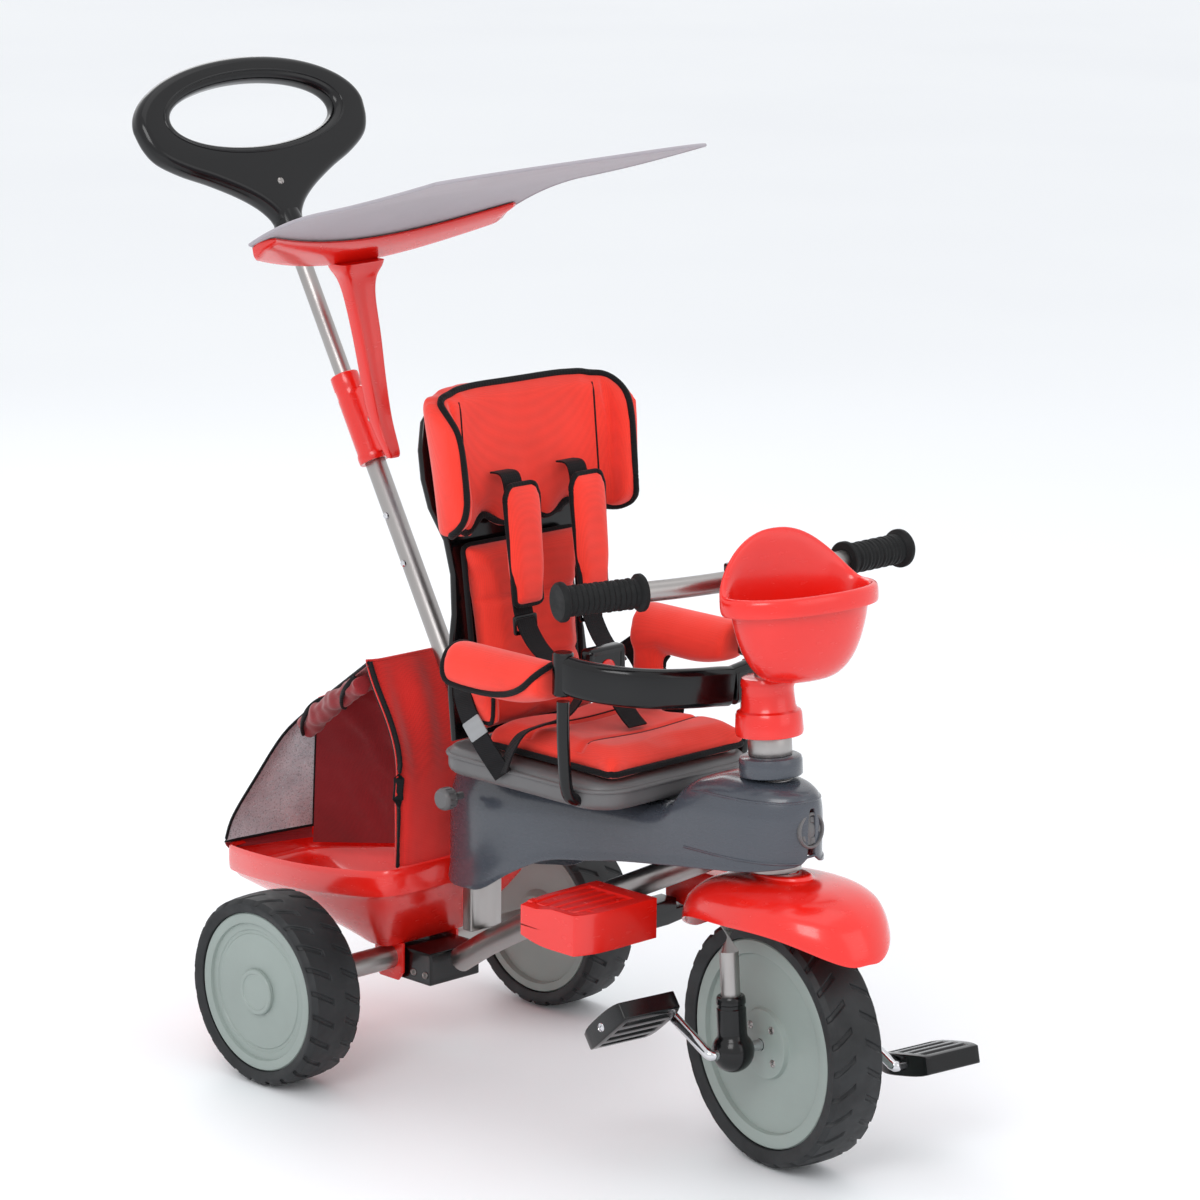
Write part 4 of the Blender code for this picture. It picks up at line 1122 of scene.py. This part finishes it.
def make_arm(side, sign):
    """A saddle-shaped pad that hangs over the arm, piped along its swooping lower edge."""
    rear, ahead_end = 0.1990, 0.3390
    profile = flowing([(0.1095, 0.448), (0.107, 0.466), (0.115, 0.486), (0.134, 0.493),
                       (0.150, 0.486), (0.156, 0.466), (0.150, 0.452), (0.132, 0.445)],
                      36, closed=True)
    pad = start_plate([[(sign * p.x, p.y) for p in profile]], 0.134, 0.004, 2)
    moved(pad, at(0.269, 0, 0) @ STANDING)
    near, far = sorted((sign * 0.1095, sign * 0.1230))
    leg = bevel(start_block((0.203, near, 0.408), (0.243, far, 0.452)), 0.004, 2)
    apply_modifiers(leg)
    edit(joined(pad, leg), face_out)

    def taper(obj):
        for vertex in obj.data.vertices:
            ahead = (vertex.co.x - 0.199) / 0.140
            vertex.co.z += 0.010 * max(0.0, ahead - 0.55) ** 2 / 0.2 * max(
                0.0, (0.480 - vertex.co.z) / 0.03)
            vertex.co.x = clamped(vertex.co.x, rear, ahead_end)
            vertex.co.y = sign * clamped(abs(vertex.co.y), 0.1046, 0.1600)

    plump(pad, 0.0045, 0.006, 4.0, taper)
    stuffed(pad, f"arm_pad_{side}", TRIKE)
    hem = [(0.200, 0.118, 0.492), (0.199, 0.146, 0.484), (0.200, 0.158, 0.462),
           (0.212, 0.156, 0.449), (0.250, 0.155, 0.446), (0.290, 0.157, 0.453),
           (0.318, 0.158, 0.467), (0.334, 0.150, 0.483), (0.339, 0.130, 0.492)]
    leg_hem = [(x, 0.124, z) for x, z in (
        (0.202, 0.444), (0.202, 0.418), (0.208, 0.409), (0.223, 0.408), (0.238, 0.409),
        (0.244, 0.418), (0.247, 0.440))]
    for name, stops, count, radius, lift in (("piping", hem, 40, 0.0033, 0.0008),
                                             ("leg_piping", leg_hem, 30, 0.0022, 0.0004)):
        route = [(AXLE_X + p.x, sign * p.y, p.z) for p in flowing(stops, count)]
        pipe(f"arm_pad_{side}_{name}", pad, route, radius, False, lift)


def start_band(points, across, width):
    """Flat webbing along a smooth run of points, its width along one direction."""
    side = Vector(across).normalized() * width
    return start_shell(4, 40, lambda u, v: flow(points, v) + side * (u - 0.5), 0.0018)


def make_harness():
    pad_low, pad_high, pad_half = 0.137, 0.260, 0.0255

    def narrowed(height):
        up = (height - pad_low) / 0.123
        return 1 - 0.30 * max(0.0, 0.30 - up) / 0.30 - 0.25 * max(0.0, up - 0.85) / 0.15

    for side, sign in SIDES:
        y = sign * 0.046
        path = [(0.040, y, 0.272), (0.056, y, 0.268), (0.0600, y, 0.240), (0.0600, y, 0.190),
                (0.0620, y, 0.130), (0.078, y * 0.94, 0.095), (0.1085, y * 0.80, 0.070)]
        stand_in(start_band(path, (0, 1, 0), 0.025), f"shoulder_strap_{side}", WEBBING, BACK)
        pad = divide(start_block((0.0655, y - pad_half, pad_low),
                                 (0.0755, y + pad_half, pad_high)), 9)
        for vertex in pad.data.vertices:
            vertex.co.y = y + (vertex.co.y - y) * narrowed(vertex.co.z)
        plump(bevel(pad, 0.0035, 2, 60), 0.0040, 0.0035, 3.0)
        stuffed(pad, f"shoulder_pad_{side}", BACK)
        route = [BACK @ Vector((0.0705, y + across * narrowed(up), up))
                 for across, up in rounded_outline(pad_half, pad_low, pad_high, 0.014)]
        pipe(f"shoulder_pad_{side}_piping", pad, route, 0.0029, lift=0.0006)
        slider = start_plate([rounded_box(0.010, 0.016, 0.003, 0.003, 5),
                              rounded_box(0.0055, 0.0125, 0.001, 0.001, 3)], 0.003, 0.0009, 2)
        settle(slider, f"strap_slider_{side}", BLACK, BACK @ at(0.0635, y, 0.118)
               @ turn(QUARTER, "Y"))
        down = [(0.190, 0.1150, 0.452), (0.200, 0.1235, 0.436), (0.212, 0.1262, 0.416),
                (0.230, 0.1240, 0.390), (0.252, 0.1165, 0.360)]
        side_strap = start_band([(x, sign * py, z) for x, py, z in down], (0.82, 0, 0.57), 0.026)
        settle(side_strap, f"side_strap_{side}", WEBBING)
        patch = start_plate([rounded_box(0.0105, 0.0135, 0.002, 0.002, 4)], 0.0016, 0.0004, 1)
        place = TRIKE @ at(0.2210, sign * 0.1262, 0.4040) @ turn(
            math.radians(-35), "Y") @ turn(math.radians(-sign * 97), "X") @ turn(QUARTER, "Z")
        settle(patch, f"side_patch_{side}", SILVER_PATCH, place)
        lap = [(0.252, 0.1180, 0.3620), (0.261, 0.1172, 0.3840), (0.269, 0.1080, 0.4040),
               (0.276, 0.0850, 0.4110), (0.279, 0.0600, 0.4145), (0.278, 0.0400, 0.4280),
               (0.275, 0.0260, 0.4440)]
        lap_strap = start_band([(x, sign * py, z) for x, py, z in lap], (0.90, sign * 0.30, 0.30),
                               0.022)
        settle(lap_strap, f"lap_strap_{side}", WEBBING)
    buckle = start_plate([rounded_box(0.023, 0.026, 0.010, 0.006, 8)], 0.016, 0.0045, 4)
    inset_faces(buckle, 0.004, -0.0015, lambda centre, normal: normal.z > 0.9)
    stand_in(buckle, "harness_buckle", BLACK, TRIKE @ at(0.274, 0, 0.455) @ turn(QUARTER, "Y"))
    button = start_turned([(0, 0.0022), (0.0085, 0.0019), (0.0100, 0.0006), (0.0102, -0.002),
                           (0, -0.002)], 32)
    settle(button, "buckle_button", RED, TRIKE @ at(0.2810, 0, 0.455) @ turn(QUARTER, "Y"))
    crotch = start_band([(0.324, 0, 0.4045), (0.313, 0, 0.4120), (0.298, 0, 0.4260),
                         (0.2835, 0, 0.4420)], (0, 1, 0), 0.025)
    stand_in(crotch, "crotch_strap", WEBBING)


def make_safety_ring():
    stops = [(0.350, 0.131), (0.368, 0.130), (0.394, 0.121), (0.418, 0.104), (0.436, 0.078),
             (0.447, 0.046), (0.4492, 0.020), (0.4495, 0.0022)]
    for side, sign in SIDES:
        body = f"{side}_ring"
        line = flowing([(x, sign * y, 0.484 - 0.016 * k / 7) for k, (x, y) in enumerate(stops)], 46)
        stand_in(start_rod(line, 0.0078, flat=0.0120), f"safety_ring_{side}", BLACK, TRIKE, body,
                 angle=50)
        collar = start_turned(mirrored([(0, 0.0215), (0.0090, 0.0215), (0.0105, 0.0200)]), 32)
        settle(collar, f"ring_hinge_{side}", BLACK, TRIKE @ at(0.3502, sign * 0.131, 0.4835), body)
    latch = start_block((0.4390, 0.0022, 0.4530), (0.4583, 0.0180, 0.4830))
    inset_faces(latch, 0.0035, -0.0012, lambda centre, normal: normal.x > 0.9)
    settle(bevel(latch, 0.0028, 4), "ring_latch", BLACK, TRIKE, "left_ring")


# ---------------------------------------------------------------- push bar and canopy

def make_push_bar():
    lower = start_turned([(0.0096, 0.395), (0.0106, 0.395), (0.0110, 0.3944), (0.0110, -0.070),
                          (0.0096, -0.070)])
    stand_in(lower, "push_bar_lower_tube", STEEL, BAR, "push_bar")
    upper = start_turned([(0, 0.6210), (0.0090, 0.6210), (0.0090, 0.200), (0, 0.200)])
    stand_in(upper, "push_bar_upper_tube", STEEL, BAR, "upper_bar")
    for height, name in ((0.232, "lower"), (0.286, "middle")):
        button = start_turned([(0, 0.0030), (0.0022, 0.0027), (0.0036, 0.0014), (0.0040, -0.001),
                               (0, -0.001)], 24)
        settle(button, f"height_{name}_button", CHROME, BAR @ at(0, -0.0106, height)
               @ turn(QUARTER, "X"), "push_bar")


def make_handle():
    """The looped handle: a broad ring on a webbed neck, moulded in one piece."""
    top = arc((0.148, 0.067), 0, 180, 61)
    left = flowing([
        (-0.148, 0.0), (-0.1445, -0.020), (-0.134, -0.038), (-0.110, -0.0545), (-0.080, -0.069),
        (-0.050, -0.086), (-0.030, -0.101), (-0.019, -0.114), (-0.0155, -0.1225)], 44)[1:]
    outline = top + mirrored_across([(p.x, p.y) for p in left])
    hole = arc((0.106, 0.0375), 0, 357, 120, (0, 0.002))
    loop = start_plate([outline, hole], 0.024, 0.0095, 7)
    place = BAR @ at(0, 0, 0.744) @ STANDING
    stand_in(loop, "push_handle", BLACK, place, "upper_bar", angle=50)
    for face, name in ((1, "front"), (-1, "back")):
        bead = [(x, y, face * 0.0116) for x, y in arc((0.1165, 0.0465), 0, 357, 90, (0, 0.002))]
        settle(start_rod(bead, 0.0012, True, 3), f"handle_{name}_bead", BLACK, place, "upper_bar")
        settle(screw_head(0.0040, 0.0018), f"handle_{name}_screw", STEEL,
               place @ at(0, -0.0800, face * 0.0118) @ facing(face, "X"), "upper_bar")
    neck = start_turned([(0.0094, -0.018), (0.0150, -0.018), (0.0160, -0.0165), (0.0165, -0.004),
                         (0.0150, 0.010), (0.0094, 0.010)], 40)
    settle(neck, "handle_collar", BLACK, BAR @ at(0, 0, 0.6215), "upper_bar")


def make_clamp():
    sleeve = start_turned([
        (0.0113, 0.4450), (0.0142, 0.4450), (0.0152, 0.4440), (0.0155, 0.4400), (0.0155, 0.4300),
        (0.0149, 0.4285), (0.0149, 0.4200), (0.0155, 0.4185), (0.0155, 0.3580), (0.0165, 0.3550),
        (0.0168, 0.3530), (0.0165, 0.3470), (0.0158, 0.3460), (0.0113, 0.3460)], 56)
    stand_in(sleeve, "canopy_clamp_sleeve", RED, BAR, "push_bar")
    ear = start_plate([[(-0.010, -0.034), (0.006, -0.036), (0.017, -0.022), (0.020, 0.004),
                        (0.016, 0.030), (0.004, 0.038), (-0.010, 0.036)]], 0.012, 0.003, 4)
    settle(ear, "canopy_clamp_ear", RED, BAR @ at(0.020, 0, 0.386) @ turn(QUARTER, "X"),
           "push_bar")
    for side, sign in SIDES:
        settle(screw_head(0.0050, 0.0022), f"clamp_bolt_{side}", STEEL,
               BAR @ at(0.026, sign * 0.0056, 0.386) @ turn(-sign * QUARTER, "X"), "push_bar")


def sheet_height(x):
    return 0.900 + 0.243 * x - 1.31 * max(0.0, 0.08 - x) ** 2


def rear_line(y):
    return -0.089 + 0.043 * (abs(y) / 0.16) ** 2


def from_foot(x, y, z):
    return (x - BAR_FOOT[0], y, z - BAR_FOOT[1])


def start_bar(rings):
    """A solid run through rings, closed by a point at each end."""
    tips = [[tuple(sum(v) / len(ring) for v in zip(*ring))] * len(ring)
            for ring in (rings[0], rings[-1])]
    return start_rings([tips[0], *rings, tips[1]])


def make_post():
    """The upright that carries the holder: slim at the clamp, broad under the sheet."""
    stops = [(-0.0370, 0.6270, 0.0040, 0.0060), (-0.0395, 0.6340, 0.0058, 0.0082),
             (-0.0560, 0.6650, 0.0092, 0.0105), (-0.0660, 0.7050, 0.0098, 0.0118),
             (-0.0750, 0.7500, 0.0102, 0.0138), (-0.0850, 0.7900, 0.0108, 0.0158),
             (-0.0890, 0.8100, 0.0125, 0.0200), (-0.0900, 0.8220, 0.0165, 0.0270),
             (-0.0900, 0.8280, 0.0175, 0.0290)]
    rings = []
    for k in range(49):
        x, z, half_x, half_y = flow(stops, k / 48)
        ring = []
        for a in (2 * math.pi * step / 32 for step in range(32)):
            c, s = math.cos(a), math.sin(a)
            dent = 1 - 0.30 * math.exp(-(s / 0.35) ** 2) * math.sin(math.pi * k / 48)
            ring.append(from_foot(x + half_x * squarer(c, 0.4) * dent, half_y * squarer(s, 0.4), z))
        rings.append(ring)
    stand_in(start_bar(rings), "canopy_post", RED, UPRIGHT, "push_bar")


def make_holder():
    """The curved red cradle under the sheet's rear edge, with a raised rim along its back."""
    section = [(-0.0045, -0.0120), (-0.0060, -0.0085), (-0.0055, -0.0030), (-0.0035, 0.0010),
               (-0.0015, 0.0005), (-0.0010, -0.0035), (0.0120, -0.0040), (0.0290, -0.0038),
               (0.0305, -0.0062), (0.0290, -0.0088), (0.0120, -0.0098), (0.0020, -0.0128)]
    half, rings = 0.1665, []
    for k in range(61):
        y = -half + 0.333 * k / 60
        fade = min(1.0, (half - abs(y)) / 0.010 + 0.25)
        ring = []
        for across, up in section:
            x = rear_line(y) + 0.0005 + across * fade
            ring.append(from_foot(x, y, sheet_height(x) + up * fade))
        rings.append(ring)
    stand_in(start_bar(rings), "canopy_holder", RED, UPRIGHT, "push_bar", angle=45)


def make_canopy():
    reach = 0.284

    def rule(u, v):
        y = -0.172 + 0.344 * u
        rear, front = rear_line(y), reach - 0.020 * abs(2 * u - 1) ** 6
        x = rear + (front - rear) * v
        droop = 0.004 * math.sin(math.pi * v) * (2 * u - 1) ** 2
        return from_foot(x, y, sheet_height(x) - droop)

    sheet = stand_in(start_shell(64, 72, rule, 0.0020, edge=0.0006), "canopy_sheet", CANOPY_CLOTH,
                     UPRIGHT, "push_bar", angle=50)
    steps = [k / 40 for k in range(41)]
    hem = ([rule(0, v) for v in steps] + [rule(u, 1) for u in steps[1:]]
           + [rule(1, 1 - v) for v in steps[1:]] + [rule(1 - u, 0) for u in steps[1:-1]])
    binding = settle(start_rod(hem, 0.0019, True, 3), "canopy_binding", CANOPY_CLOTH, UPRIGHT,
                     "push_bar")


# ---------------------------------------------------------------- studio

def add_studio():
    floor = start(bpy.ops.mesh.primitive_plane_add, size=24)
    floor.name = "studio_floor"
    paint = Finish("studio_paint", 0.55)
    paint.colour(paint.clouds(0.6, 2), (0.2, tone(243, 245, 248)), (0.8, tone(248, 250, 252)))
    floor.data.materials.append(paint.material)
    world = bpy.data.worlds.new("studio_air")
    bpy.context.scene.world = world
    world.use_nodes = True
    air = world.node_tree.nodes["Background"]
    air.inputs["Color"].default_value = (0.975, 0.985, 1.0, 1.0)
    air.inputs["Strength"].default_value = 0.98
    lamps = (("key", (1.6, -2.6, 2.6), 38, 1.6), ("fill", (3.2, 0.6, 1.6), 8, 2.0),
             ("rear", (-2.6, 1.2, 2.4), 16, 1.6), ("top", (0.2, 0.1, 3.6), 10, 2.4))
    for name, place, power, size in lamps:
        bpy.ops.object.light_add(type="AREA", location=place)
        lamp = bpy.context.object
        lamp.name = f"studio_{name}"
        lamp.data.energy = power
        lamp.data.size = size
        lamp.rotation_euler = (Vector((0, 0, 0.45)) - Vector(place)).to_track_quat(
            "-Z", "Y").to_euler()


def add_camera():
    azimuth, elevation, roll = (math.radians(a) for a in (45.88, 12.72, 0.42))
    target, distance = Vector((AXLE_X + 0.180, 0, 0.4878)), 4.477
    back = Vector((math.sin(azimuth) * math.cos(elevation),
                   -math.cos(azimuth) * math.cos(elevation), math.sin(elevation)))
    right = Vector((math.cos(azimuth), math.sin(azimuth), 0))
    up = back.cross(right)
    level_right = right * math.cos(roll) + up * math.sin(roll)
    level_up = up * math.cos(roll) - right * math.sin(roll)
    bpy.ops.object.camera_add()
    camera = bpy.context.object
    camera.matrix_world = Matrix((*zip(level_right, level_up, back, target + back * distance),
                                  (0, 0, 0, 1)))
    camera.data.lens = 132.08
    camera.data.sensor_width = 36
    camera.data.shift_x = 0.0515
    camera.data.shift_y = 0.0173
    bpy.context.scene.camera = camera


make_axle()
for side, sign in SIDES:
    make_rear_wheel(side, sign)
for make in (make_front_wheel, make_spine, make_body, make_badge, make_head, make_footrests,
             make_fork, make_mudguard, make_column, make_basket, make_handlebar, make_bucket,
             make_bag, make_seat_base, make_cushion, make_back, make_headrest):
    make()
for side, sign in SIDES:
    make_arm(side, sign)
for make in (make_harness, make_safety_ring, make_push_bar, make_handle, make_clamp, make_post,
             make_holder, make_canopy, add_studio, add_camera):
    make()
bpy.context.scene.view_settings.view_transform = "Standard"
